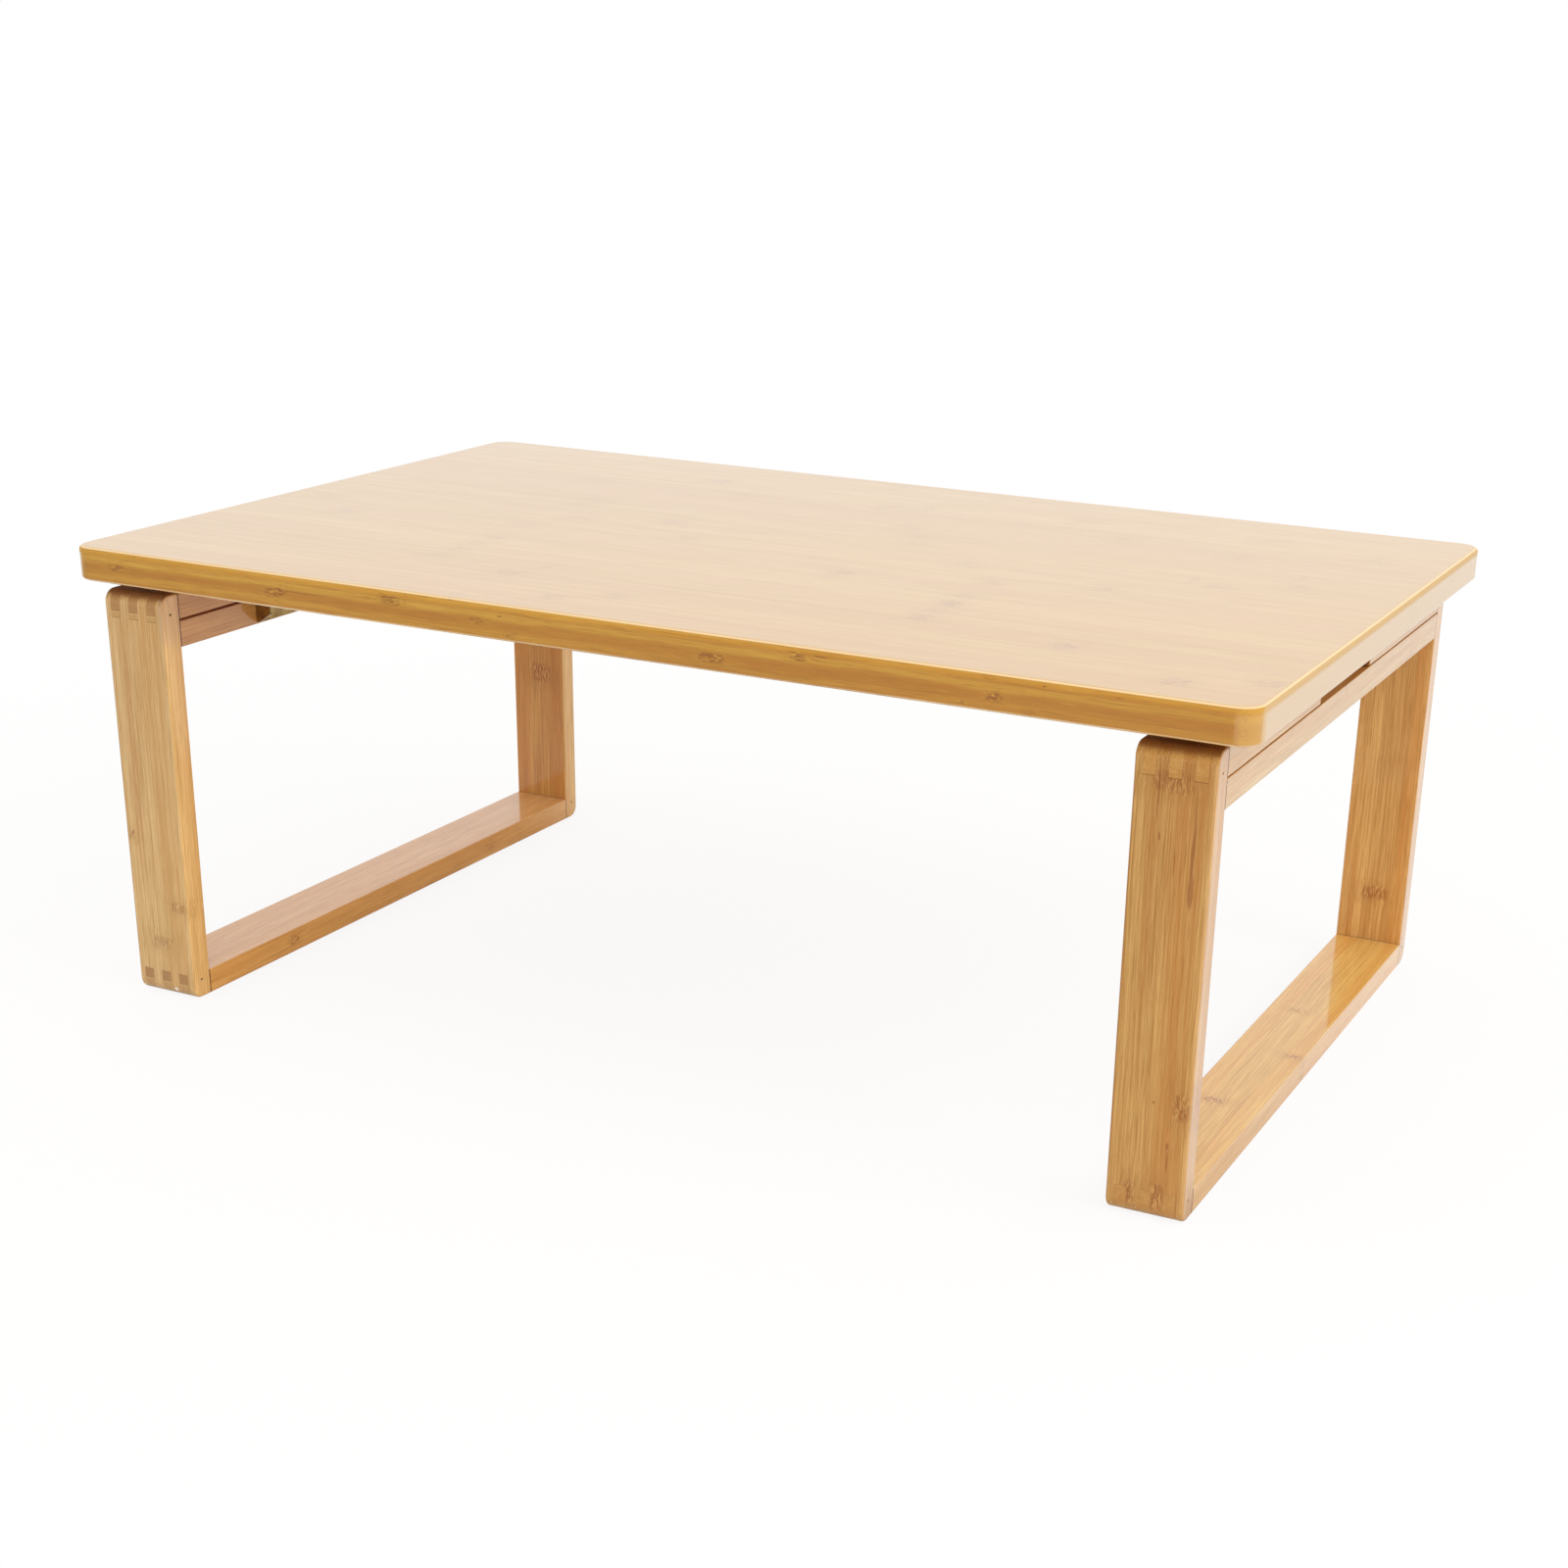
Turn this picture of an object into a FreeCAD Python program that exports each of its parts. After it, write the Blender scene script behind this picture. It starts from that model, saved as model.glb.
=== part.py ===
import FreeCAD, Part
import enum
import os
import re
import Sketcher

# Low folding table of laminated bamboo. A flat top rests on two closed board hoops.
# Each hoop turns on two steel brackets under the top and folds inward, flat below it.
# Millimetres. X runs along the top, Y to the rear, Z up. The origin is on the floor,
# in the middle of the table.

Vector = FreeCAD.Vector
Constraint = Sketcher.Constraint

DRIVING = {
    # Tabletop
    "top_length": 800.0,
    "top_depth": 500.0,
    "top_thickness": 22.0,
    "table_height": 306.0,
    "top_corner_radius": 15.0,
    "top_upper_round": 3.0,
    "top_lower_round": 2.5,
    # Boards of the hoops
    "hoop_end_inset": 20.7,
    "hoop_side_inset": 5.0,
    "board_width": 47.3,
    "upright_thickness": 16.6,
    "rail_thickness": 17.4,
    "rail_gap": 1.0,
    "hoop_corner_radius": 8.5,
    "board_outer_round": 2.0,
    "board_inner_round": 0.6,
    "finger_width": 7.4,
    "grip_length": 109.0,
    "grip_depth": 20.0,
    "grip_corner_radius": 8.0,
    # Nails through the box joints and dowels between the two upper rails
    "nail_diameter": 1.8,
    "nail_recess": 0.3,
    "nail_from_face": 8.3,
    "nail_from_rail_inside": 4.4,
    "dowel_diameter": 8.0,
    "dowel_sink": 10.0,
    "dowel_reach": 76.0,
    # Hinge brackets, placed from their pivot axis
    "bracket_reach": 132.0,
    "pivot_inset": 7.0,
    "pivot_drop": 8.0,
    "base_gauge": 2.5,
    "leaf_gauge": 2.5,
    "seat_gap": 0.35,
    "leaf_width": 40.0,
    "leaf_foot_rise": 1.6,
    "leaf_lap": 18.0,
    "cheek_nose_rise": 6.5,
    "cheek_nose_round": 3.0,
    "ear_gap": 0.4,
    "ear_radius": 6.0,
    "base_outboard": 25.0,
    "base_inboard": 48.0,
    "base_corner_radius": 4.0,
    "window_clearance": 0.6,
    # Pivot pin and cam block
    "pin_diameter": 5.0,
    "pin_head_diameter": 8.0,
    "pin_head_height": 1.5,
    "pin_head_bevel": 0.5,
    "running_clearance": 0.05,
    "cam_width": 16.0,
    "cam_corner_round": 0.8,
    # Detent spring and its rivets
    "spring_gauge": 0.8,
    "spring_width": 12.0,
    "spring_gap": 0.05,
    "spring_foot": 25.0,
    "spring_tip_clearance": 0.7,
    "spring_bend_inside": 0.8,
    "rivet_diameter": 3.0,
    "rivet_head_diameter": 5.6,
    "rivet_head_height": 1.2,
    "rivet_head_bevel": 0.4,
    "rivet_near": 13.0,
    "rivet_far": 25.0,
    # Wood screws
    "screw_diameter": 3.6,
    "screw_head_diameter": 6.5,
    "screw_head_height": 2.3,
    "screw_head_bevel": 0.7,
    "screw_point": 3.0,
    "screw_hole_clearance": 0.2,
    "recess_span": 3.8,
    "recess_width": 0.9,
    "recess_depth": 1.2,
    "top_screw_length": 16.0,
    "top_screw_near": 16.0,
    "top_screw_far": 40.0,
    "top_screw_side": 12.0,
    "leaf_screw_length": 18.0,
    "leaf_screw_side": 13.0,
    # One overrun for all cuts that pass a face
    "overrun": 5.0,
}

WORKED_OUT = {
    "underside": "table_height - top_thickness",
    "hoop_height": "underside - base_gauge - seat_gap - leaf_gauge",
    "hoop_depth": "top_depth - 2 * hoop_side_inset",
    "hoop_centre": "top_length / 2 - hoop_end_inset - board_width / 2",
    "hoop_inside": "hoop_centre - board_width / 2",
    "rail_bottom": "hoop_height - rail_thickness",
    "sub_rail_top": "rail_bottom - rail_gap",
    "sub_rail_bottom": "sub_rail_top - rail_thickness",
    "sub_rail_length": "hoop_depth - 2 * upright_thickness",
    "nail_level": "rail_thickness - nail_from_rail_inside",
    "nail_reach": "hoop_depth / 2 - nail_from_face",
    "pivot_reach": "hoop_inside - pivot_inset",
    "pivot_level": "underside - pivot_drop",
    "plate_bottom": "pivot_drop - base_gauge",
    "lug_radius": "plate_bottom - seat_gap",
    "leaf_face": "pivot_inset - leaf_gauge",
    "rail_top": "hoop_height - pivot_level",
    "leaf_foot": "sub_rail_bottom + leaf_foot_rise - pivot_level",
    "cheek_nose": "leaf_foot + cheek_nose_rise",
    "leaf_clear_width": "leaf_width - 2 * leaf_gauge",
    "ear_clear_width": "leaf_width + 2 * ear_gap",
    "base_width": "ear_clear_width + 2 * base_gauge",
    "window_reach": "leaf_face * sqrt(2) + window_clearance",
    "window_half_width": "cam_width / 2 + window_clearance",
    "spring_face": "leaf_face + spring_gap",
    "spring_tip": "spring_tip_clearance - leaf_face",
    "spring_underside": "plate_bottom - spring_gauge",
    "upper_screw_level": "hoop_height - rail_thickness / 2",
    "lower_screw_level": "sub_rail_top - rail_thickness / 2",
}

SIDES = {"left": -1, "right": 1}
ENDS = {"front": -1, "rear": 1}
FINGERS = 7
RAIL_FINGERS = (1, 3, 5)
UPRIGHT_FINGERS = (0, 2, 4, 6)
FULL_TURN = 360
HALF_TURN = 180
QUARTER_TURN = 90
ORIGIN = -1
TOLERANCE_SHARE = 1e-6

# The points of a sketched line or circle, numbered from one as constraints count them
Spot = enum.IntEnum("Spot", ["START", "END", "CENTRE"])

doc = FreeCAD.newDocument("FoldingTable")
sheet = doc.addObject("Spreadsheet::Sheet", "Sizes")
nodes = []


def fill_sheet():
    """Writes the driving dimensions and the formulas that follow from them."""
    row = 0
    for alias, value in DRIVING.items():
        row += 1
        sheet.set(f"A{row}", alias)
        sheet.set(f"B{row}", str(value))
        sheet.setAlias(f"B{row}", alias)
    for alias, formula in WORKED_OUT.items():
        row += 1
        sheet.set(f"A{row}", alias)
        sheet.set(f"B{row}", f"={formula}")
        sheet.setAlias(f"B{row}", alias)
    doc.recompute()


def on_sheet(formula):
    """Gives a formula whose aliases are read from the sheet by other objects."""
    return re.sub(r"\b[a-z]\w+\b(?!\()", lambda word: f"Sizes.{word.group()}", str(formula))


def number(formula):
    """Gives the value that a formula of aliases has now."""
    return float(sheet.evalExpression(str(formula)))


def bind(item, name, formula):
    """Ties a property of an object to a formula of the sheet."""
    item.setExpression(name, on_sheet(formula))


def place(item, across, along, up, axis=Vector(0, 0, 1), angle=0, prop="Placement"):
    """Puts an object at three formulas, turned about an axis through its own origin."""
    setattr(item, prop, FreeCAD.Placement(Vector(0, 0, 0), FreeCAD.Rotation(axis, angle)))
    for letter, formula in zip("xyz", (across, along, up)):
        if formula != "0":
            bind(item, f".{prop}.Base.{letter}", formula)


def new_body(label, is_node=True):
    """Starts a body; a body that is a node is written to a file of its own."""
    body = doc.addObject("PartDesign::Body", label)
    body.Label = label
    if is_node:
        nodes.append(body)
    return body


def new_sketch(body, role, name, offset="0"):
    """Starts a sketch on one of the body's own origin planes, or parallel to it."""
    plane = next(item for item in body.Origin.OriginFeatures if item.Role == role)
    sketch = body.newObject("Sketcher::SketchObject", name)
    sketch.AttachmentSupport = (plane, [""])
    sketch.MapMode = "FlatFace"
    if offset != "0":
        bind(sketch, ".AttachmentOffset.Base.z", offset)
    return sketch


def fix_point(sketch, line, point, corner):
    """Holds one point of a sketch at a pair of formulas."""
    for kind, formula in zip(("DistanceX", "DistanceY"), corner):
        value = number(formula)
        row = sketch.addConstraint(Constraint(kind, ORIGIN, Spot.START, line, point, value))
        if formula != "0":
            bind(sketch, f"Constraints[{row}]", formula)


def draw_polygon(sketch, corners):
    """Draws a closed outline through corners that are pairs of formulas."""
    first = sketch.GeometryCount
    count = len(corners)
    spots = [Vector(number(across), number(up), 0) for across, up in corners]
    for index in range(count):
        edge = Part.LineSegment(spots[index], spots[(index + 1) % count])
        sketch.addGeometry(edge, False)
    for index in range(count):
        ends = (first + index, Spot.END, first + (index + 1) % count, Spot.START)
        sketch.addConstraint(Constraint("Coincident", *ends))
    for index, corner in enumerate(corners):
        fix_point(sketch, first + index, Spot.START, corner)


def draw_box(sketch, low, high):
    """Draws a rectangle between two opposite corners."""
    corners = [low, (high[0], low[1]), high, (low[0], high[1])]
    draw_polygon(sketch, corners)


def draw_circle(sketch, centre, diameter):
    """Draws a circle about a pair of formulas."""
    middle = Vector(number(centre[0]), number(centre[1]), 0)
    circle = Part.Circle(middle, Vector(0, 0, 1), number(diameter) / 2)
    line = sketch.addGeometry(circle, False)
    row = sketch.addConstraint(Constraint("Diameter", line, number(diameter)))
    bind(sketch, f"Constraints[{row}]", diameter)
    fix_point(sketch, line, Spot.CENTRE, centre)


def pad(body, sketch, name, length):
    """Adds material to both sides of a sketch, over a length in all."""
    feature = body.newObject("PartDesign::Pad", name)
    feature.Profile = sketch
    feature.SideType = "Symmetric"
    bind(feature, "Length", length)
    doc.recompute()
    return feature


def volume_before(body):
    """Gives the body's volume so far, so that a cut can be seen to remove some."""
    doc.recompute()
    return body.Shape.Volume


def check_cut(body, name, before):
    """Stops if a cut has removed nothing."""
    doc.recompute()
    if body.Shape.Volume > before * (1 - TOLERANCE_SHARE):
        raise RuntimeError(f"{body.Label}: {name} removes nothing")


def cut_through(body, sketch, name):
    """Cuts a sketch's outlines right through the body, both ways."""
    before = volume_before(body)
    feature = body.newObject("PartDesign::Pocket", name)
    feature.Profile = sketch
    feature.Type = "ThroughAll"
    feature.SideType = "Symmetric"
    check_cut(body, name, before)
    return feature


def cut_to_depth(body, sketch, name, depth, forward):
    """Cuts to a depth, along the sketch's normal where forward is true."""
    before = volume_before(body)
    feature = body.newObject("PartDesign::Pocket", name)
    feature.Profile = sketch
    feature.Reversed = forward
    bind(feature, "Length", depth)
    check_cut(body, name, before)
    return feature


def near(one, other):
    """Tells whether two lengths are the same but for rounding."""
    return abs(one - other) < number("top_length") * TOLERANCE_SHARE


def round_edges(body, name, radius, chosen):
    """Rounds the edges of the body's tip that a test chooses."""
    doc.recompute()
    tip = body.Tip
    picked = []
    for index, edge in enumerate(tip.Shape.Edges, start=1):
        if chosen(edge):
            picked.append(f"Edge{index}")
    if not picked:
        raise RuntimeError(f"{body.Label}: {name} finds no edge")
    feature = body.newObject("PartDesign::Fillet", name)
    feature.Base = (tip, picked)
    bind(feature, "Radius", radius)
    doc.recompute()
    return feature


def lies_at(edge, letter, value):
    """Tells whether both ends of an edge have this coordinate, in size."""
    ends = [abs(getattr(vertex.Point, letter)) for vertex in edge.Vertexes]
    return all(near(end, value) for end in ends)


def runs_along(edge, letter):
    """Tells whether an edge is a straight run parallel to an axis."""
    first, last = edge.Vertexes[0].Point, edge.Vertexes[-1].Point
    moved = last - first
    return near(abs(getattr(moved, letter)), moved.Length) and near(edge.Length, moved.Length)


def flat_at(letter, value):
    """Makes a test for edges of the face at this coordinate, in size."""
    def chosen(edge):
        return lies_at(edge, letter, value)
    return chosen


def straight_along(direction, **places):
    """Makes a test for straight edges along an axis, at these coordinates of the others."""
    def chosen(edge):
        start = edge.Vertexes[0].Point
        placed = all(near(getattr(start, letter), value) for letter, value in places.items())
        return placed and runs_along(edge, direction)
    return chosen


def face_rim(letter, value, other_letter, left_out):
    """Makes a test for edges of the faces at a coordinate, but for the board's inner edge."""
    def chosen(edge):
        return lies_at(edge, letter, value) and not lies_at(edge, other_letter, left_out)
    return chosen


def finger_span(index):
    """Gives the two sides of a finger inside the board, counted from the board's edge."""
    low = f"finger_width * ({index} - {FINGERS} / 2)"
    high = f"finger_width * ({index + 1} - {FINGERS} / 2)"
    return low, high


def top_screw_places(side):
    """Lists where the screws of one side's base plates stand."""
    places = []
    for end in ENDS.values():
        for reach in ("top_screw_near", "top_screw_far"):
            for offset in ENDS.values():
                across = f"{side} * (pivot_reach - {reach})"
                along = f"{end} * bracket_reach + {offset} * top_screw_side"
                places.append((across, along))
    return places


def leaf_screw_offsets():
    """Lists how far along the rails the screws of both leaves stand."""
    offsets = []
    for end in ENDS.values():
        for offset in ENDS.values():
            offsets.append(f"{end} * bracket_reach + {offset} * leaf_screw_side")
    return offsets


def make_tabletop():
    """Makes the panel, with blind holes below for the screws of the base plates."""
    body = new_body("tabletop")
    outline = new_sketch(body, "XZ_Plane", "Section")
    draw_box(outline, ("-top_length / 2", "0"), ("top_length / 2", "top_thickness"))
    pad(body, outline, "Panel", "top_depth")
    round_edges(body, "Corners", "top_corner_radius", straight_along("z"))
    round_edges(body, "UpperEdge", "top_upper_round", flat_at("z", number("top_thickness")))
    round_edges(body, "LowerEdge", "top_lower_round", flat_at("z", 0))
    holes = new_sketch(body, "XY_Plane", "ScrewHoles")
    for side in SIDES.values():
        for spot in top_screw_places(side):
            draw_circle(holes, spot, "screw_diameter")
    cut_to_depth(body, holes, "Holes", "top_screw_length - base_gauge", True)
    place(body, "0", "0", "underside")


def make_upright(side_name, end_name):
    """Makes one upright; its outer face is at zero and the hoop's inside behind it."""
    body = new_body(f"{side_name}_{end_name}_upright")
    outline = new_sketch(body, "YZ_Plane", "Section")
    draw_box(outline, ("0", "0"), ("upright_thickness", "hoop_height"))
    pad(body, outline, "Board", "board_width")
    inside = number("upright_thickness")
    half = number("board_width / 2")
    round_edges(body, "HoopCorners", "hoop_corner_radius", straight_along("x", y=0))
    round_edges(body, "Rim", "board_outer_round", face_rim("x", half, "y", inside))
    round_edges(body, "Arris", "board_inner_round", straight_along("z", y=inside))
    slots = new_sketch(body, "XZ_Plane", "FingerSlots")
    for index in RAIL_FINGERS:
        low, high = finger_span(index)
        draw_box(slots, (low, "-overrun"), (high, "rail_thickness"))
        draw_box(slots, (low, "rail_bottom"), (high, "hoop_height + overrun"))
    cut_through(body, slots, "Fingers")
    holes = new_sketch(body, "YZ_Plane", "NailHoles")
    draw_circle(holes, ("nail_from_face", "nail_level"), "nail_diameter")
    draw_circle(holes, ("nail_from_face", "hoop_height - nail_level"), "nail_diameter")
    cut_through(body, holes, "Holes")
    side, end = SIDES[side_name], ENDS[end_name]
    angle = HALF_TURN if end_name == "rear" else 0
    place(body, f"{side} * hoop_centre", f"{end} * hoop_depth / 2", "0", angle=angle)


def make_rail_board(body):
    """Makes a rail that lies on its inner face, with its fingers and nail holes."""
    outline = new_sketch(body, "YZ_Plane", "Section")
    draw_box(outline, ("-hoop_depth / 2", "0"), ("hoop_depth / 2", "rail_thickness"))
    pad(body, outline, "Board", "board_width")
    thickness = number("rail_thickness")
    half = number("board_width / 2")
    round_edges(body, "HoopCorners", "hoop_corner_radius", straight_along("x", z=thickness))
    round_edges(body, "Rim", "board_outer_round", face_rim("x", half, "z", 0))
    round_edges(body, "Arris", "board_inner_round", straight_along("y", z=0))
    slots = new_sketch(body, "XY_Plane", "FingerSlots")
    shoulder = "(hoop_depth / 2 - upright_thickness)"
    for index in UPRIGHT_FINGERS:
        low, high = finger_span(index)
        if index == UPRIGHT_FINGERS[0]:
            low = "-board_width / 2 - overrun"
        if index == UPRIGHT_FINGERS[-1]:
            high = "board_width / 2 + overrun"
        draw_box(slots, (low, "-hoop_depth / 2 - overrun"), (high, f"-{shoulder}"))
        draw_box(slots, (low, shoulder), (high, "hoop_depth / 2 + overrun"))
    cut_through(body, slots, "Fingers")
    holes = new_sketch(body, "YZ_Plane", "NailHoles")
    for end in ENDS.values():
        draw_circle(holes, (f"{end} * nail_reach", "nail_from_rail_inside"), "nail_diameter")
    cut_through(body, holes, "Holes")


def drill_leaf_screw_holes(body, level):
    """Drills a rail from its inner face for the screws of both leaves."""
    holes = new_sketch(body, "YZ_Plane", "ScrewHoles", "-board_width / 2")
    for along in leaf_screw_offsets():
        draw_circle(holes, (along, level), "screw_diameter")
    cut_to_depth(body, holes, "LeafScrewHoles", "leaf_screw_length - leaf_gauge", True)


def drill_dowel_holes(body, forward):
    """Drills both dowel holes from the face that is turned to the other rail."""
    holes = new_sketch(body, "XY_Plane", "DowelHoles")
    for end in ENDS.values():
        draw_circle(holes, ("0", f"{end} * dowel_reach"), "dowel_diameter")
    cut_to_depth(body, holes, "Dowels", "dowel_sink", forward)


def cut_grip(body):
    """Cuts the finger notch into the outer face of a top rail."""
    notch = new_sketch(body, "XY_Plane", "GripOutline")
    low = ("board_width / 2 - grip_depth", "-grip_length / 2")
    high = ("board_width / 2 + overrun", "grip_length / 2")
    draw_box(notch, low, high)
    cut_through(body, notch, "Grip")
    inner = number("board_width / 2 - grip_depth")
    round_edges(body, "GripCorners", "grip_corner_radius", straight_along("z", x=inner))


def make_rails(side_name):
    """Makes the bottom rail, the top rail and the sub-rail of one hoop."""
    side = SIDES[side_name]
    outward = 0 if side_name == "right" else HALF_TURN
    centre = f"{side} * hoop_centre"

    bottom = new_body(f"{side_name}_bottom_rail")
    make_rail_board(bottom)
    place(bottom, centre, "0", "rail_thickness", axis=Vector(0, 1, 0), angle=HALF_TURN)

    top = new_body(f"{side_name}_top_rail")
    make_rail_board(top)
    drill_leaf_screw_holes(top, "upper_screw_level - rail_bottom")
    drill_dowel_holes(top, True)
    cut_grip(top)
    place(top, centre, "0", "rail_bottom", angle=outward)

    lower = new_body(f"{side_name}_sub_rail")
    outline = new_sketch(lower, "YZ_Plane", "Section")
    draw_box(outline, ("-sub_rail_length / 2", "-rail_thickness"), ("sub_rail_length / 2", "0"))
    pad(lower, outline, "Board", "board_width")
    round_edges(lower, "Arris", "board_inner_round", straight_along("y"))
    drill_leaf_screw_holes(lower, "lower_screw_level - sub_rail_top")
    drill_dowel_holes(lower, False)
    place(lower, centre, "0", "sub_rail_top", angle=outward)


def gather(label, parts):
    """Makes one node of several separate solids."""
    group = doc.addObject("Part::Compound", label)
    group.Label = label
    group.Links = parts
    nodes.append(group)
    doc.recompute()


def make_joint_nails(side_name):
    """Makes the four headless nails that cross the box joints of one hoop."""
    parts = []
    side = SIDES[side_name]
    start = f"{side} * hoop_centre - board_width / 2 + nail_recess"
    for end_name, end in ENDS.items():
        for level in ("nail_level", "hoop_height - nail_level"):
            nail = doc.addObject("Part::Cylinder", f"{side_name}_{end_name}_nail")
            bind(nail, "Radius", "nail_diameter / 2")
            bind(nail, "Height", "board_width - 2 * nail_recess")
            place(nail, start, f"{end} * nail_reach", level, Vector(0, 1, 0), QUARTER_TURN)
            parts.append(nail)
    gather(f"{side_name}_joint_nails", parts)


def make_dowels(side_name):
    """Makes the two dowels between the top rail and the sub-rail of one hoop."""
    parts = []
    centre = f"{SIDES[side_name]} * hoop_centre"
    for end_name, end in ENDS.items():
        dowel = doc.addObject("Part::Cylinder", f"{side_name}_{end_name}_dowel")
        bind(dowel, "Radius", "dowel_diameter / 2")
        bind(dowel, "Height", "2 * dowel_sink + rail_gap")
        place(dowel, centre, f"{end} * dowel_reach", "sub_rail_top - dowel_sink")
        parts.append(dowel)
    gather(f"{side_name}_rail_dowels", parts)


def place_on_pivot(body, side_name, end_name):
    """Puts a bracket piece, drawn about its pivot axis, where its bracket stands."""
    side, end = SIDES[side_name], ENDS[end_name]
    inboard = HALF_TURN if side_name == "right" else 0
    along = f"{end} * bracket_reach"
    place(body, f"{side} * pivot_reach", along, "pivot_level", angle=inboard)


def make_base(side_name, end_name):
    """Makes the base plate under the top, with its two ears and the cam window."""
    body = new_body(f"{side_name}_{end_name}_bracket_base")
    plate = new_sketch(body, "XZ_Plane", "PlateSection")
    draw_box(plate, ("-base_outboard", "plate_bottom"), ("base_inboard", "pivot_drop"))
    pad(body, plate, "Plate", "base_width")
    round_edges(body, "PlateCorners", "base_corner_radius", straight_along("z"))
    ears = new_sketch(body, "XZ_Plane", "EarSection")
    draw_box(ears, ("-ear_radius", "0"), ("ear_radius", "plate_bottom + base_gauge / 2"))
    pad(body, ears, "Ears", "base_width")
    lugs = new_sketch(body, "XZ_Plane", "LugSection")
    draw_circle(lugs, ("0", "0"), "2 * ear_radius")
    pad(body, lugs, "Lugs", "base_width")
    clear = new_sketch(body, "YZ_Plane", "ClearWidth")
    low = ("-ear_clear_width / 2", "-ear_radius - overrun")
    draw_box(clear, low, ("ear_clear_width / 2", "plate_bottom"))
    cut_through(body, clear, "BetweenEars")
    bore = new_sketch(body, "XZ_Plane", "PinHole")
    draw_circle(bore, ("0", "0"), "pin_diameter")
    cut_through(body, bore, "PinBore")
    openings = new_sketch(body, "XY_Plane", "PlateOpenings")
    window = ("window_reach", "window_half_width")
    draw_box(openings, ("-window_reach", "-window_half_width"), window)
    for reach in ("top_screw_near", "top_screw_far"):
        for offset in ENDS.values():
            spot = (reach, f"{offset} * top_screw_side")
            draw_circle(openings, spot, "screw_diameter + 2 * screw_hole_clearance")
    for reach in ("rivet_near", "rivet_far"):
        draw_circle(openings, (reach, "0"), "rivet_diameter")
    cut_through(body, openings, "Openings")
    place_on_pivot(body, side_name, end_name)


def make_leaf(side_name, end_name):
    """Makes the leaf: a plate on the rails, lapped over the top rail, with two cheeks."""
    body = new_body(f"{side_name}_{end_name}_bracket_leaf")
    profile = new_sketch(body, "XZ_Plane", "AngleSection")
    lap = "-pivot_inset - leaf_lap"
    draw_polygon(profile, [
        ("-pivot_inset", "leaf_foot"),
        ("-leaf_face", "leaf_foot"),
        ("-leaf_face", "lug_radius"),
        (lap, "lug_radius"),
        (lap, "rail_top"),
        ("-pivot_inset", "rail_top"),
    ])
    pad(body, profile, "Angle", "leaf_width")
    cheeks = new_sketch(body, "XZ_Plane", "CheekSection")
    draw_polygon(cheeks, [
        ("-pivot_inset", "leaf_foot"),
        ("-leaf_face", "leaf_foot"),
        ("lug_radius", "cheek_nose"),
        ("lug_radius", "0"),
        ("0", "lug_radius"),
        ("-pivot_inset", "lug_radius"),
    ])
    pad(body, cheeks, "Cheeks", "leaf_width")
    lugs = new_sketch(body, "XZ_Plane", "LugSection")
    draw_circle(lugs, ("0", "0"), "2 * lug_radius")
    pad(body, lugs, "Lugs", "leaf_width")
    nose = straight_along("y", z=number("cheek_nose"))
    round_edges(body, "CheekNoses", "cheek_nose_round", nose)
    clear = new_sketch(body, "XY_Plane", "ClearWidth")
    low = ("-leaf_face", "-leaf_clear_width / 2")
    draw_box(clear, low, ("lug_radius + overrun", "leaf_clear_width / 2"))
    cut_through(body, clear, "BetweenCheeks")
    bore = new_sketch(body, "XZ_Plane", "PinHole")
    draw_circle(bore, ("0", "0"), "pin_diameter + 2 * running_clearance")
    cut_through(body, bore, "PinBore")
    holes = new_sketch(body, "YZ_Plane", "ScrewHoles")
    for offset in ENDS.values():
        for level in ("upper_screw_level", "lower_screw_level"):
            spot = (f"{offset} * leaf_screw_side", f"{level} - pivot_level")
            draw_circle(holes, spot, "screw_diameter + 2 * screw_hole_clearance")
    cut_through(body, holes, "Holes")
    place_on_pivot(body, side_name, end_name)


def make_cam(side_name, end_name):
    """Makes the square block that turns with the leaf; its flats hold both positions."""
    body = new_body(f"{side_name}_{end_name}_cam_block")
    square = new_sketch(body, "XZ_Plane", "Section")
    draw_box(square, ("-leaf_face", "-leaf_face"), ("leaf_face", "leaf_face"))
    pad(body, square, "Block", "cam_width")
    round_edges(body, "Corners", "cam_corner_round", straight_along("y"))
    bore = new_sketch(body, "XZ_Plane", "PinHole")
    draw_circle(bore, ("0", "0"), "pin_diameter + 2 * running_clearance")
    cut_through(body, bore, "PinBore")
    place_on_pivot(body, side_name, end_name)


def turn(body, sketch):
    """Turns a half outline about the sketch's upright axis."""
    feature = body.newObject("PartDesign::Revolution", "Turned")
    feature.Profile = sketch
    feature.ReferenceAxis = (sketch, ["V_Axis"])
    feature.Angle = FULL_TURN
    doc.recompute()


def make_pin(side_name, end_name):
    """Makes the pivot pin, with a head outside each ear."""
    body = new_body(f"{side_name}_{end_name}_pivot_pin")
    half = new_sketch(body, "XY_Plane", "HalfOutline")
    face = "base_width / 2"
    tip = f"{face} + pin_head_height"
    head = "pin_head_diameter / 2"
    draw_polygon(half, [
        ("0", f"-({tip})"),
        (f"{head} - pin_head_bevel", f"-({tip})"),
        (head, f"-({tip} - pin_head_bevel)"),
        (head, f"-{face}"),
        ("pin_diameter / 2", f"-{face}"),
        ("pin_diameter / 2", face),
        (head, face),
        (head, f"{tip} - pin_head_bevel"),
        (f"{head} - pin_head_bevel", tip),
        ("0", tip),
    ])
    turn(body, half)
    place_on_pivot(body, side_name, end_name)


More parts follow.
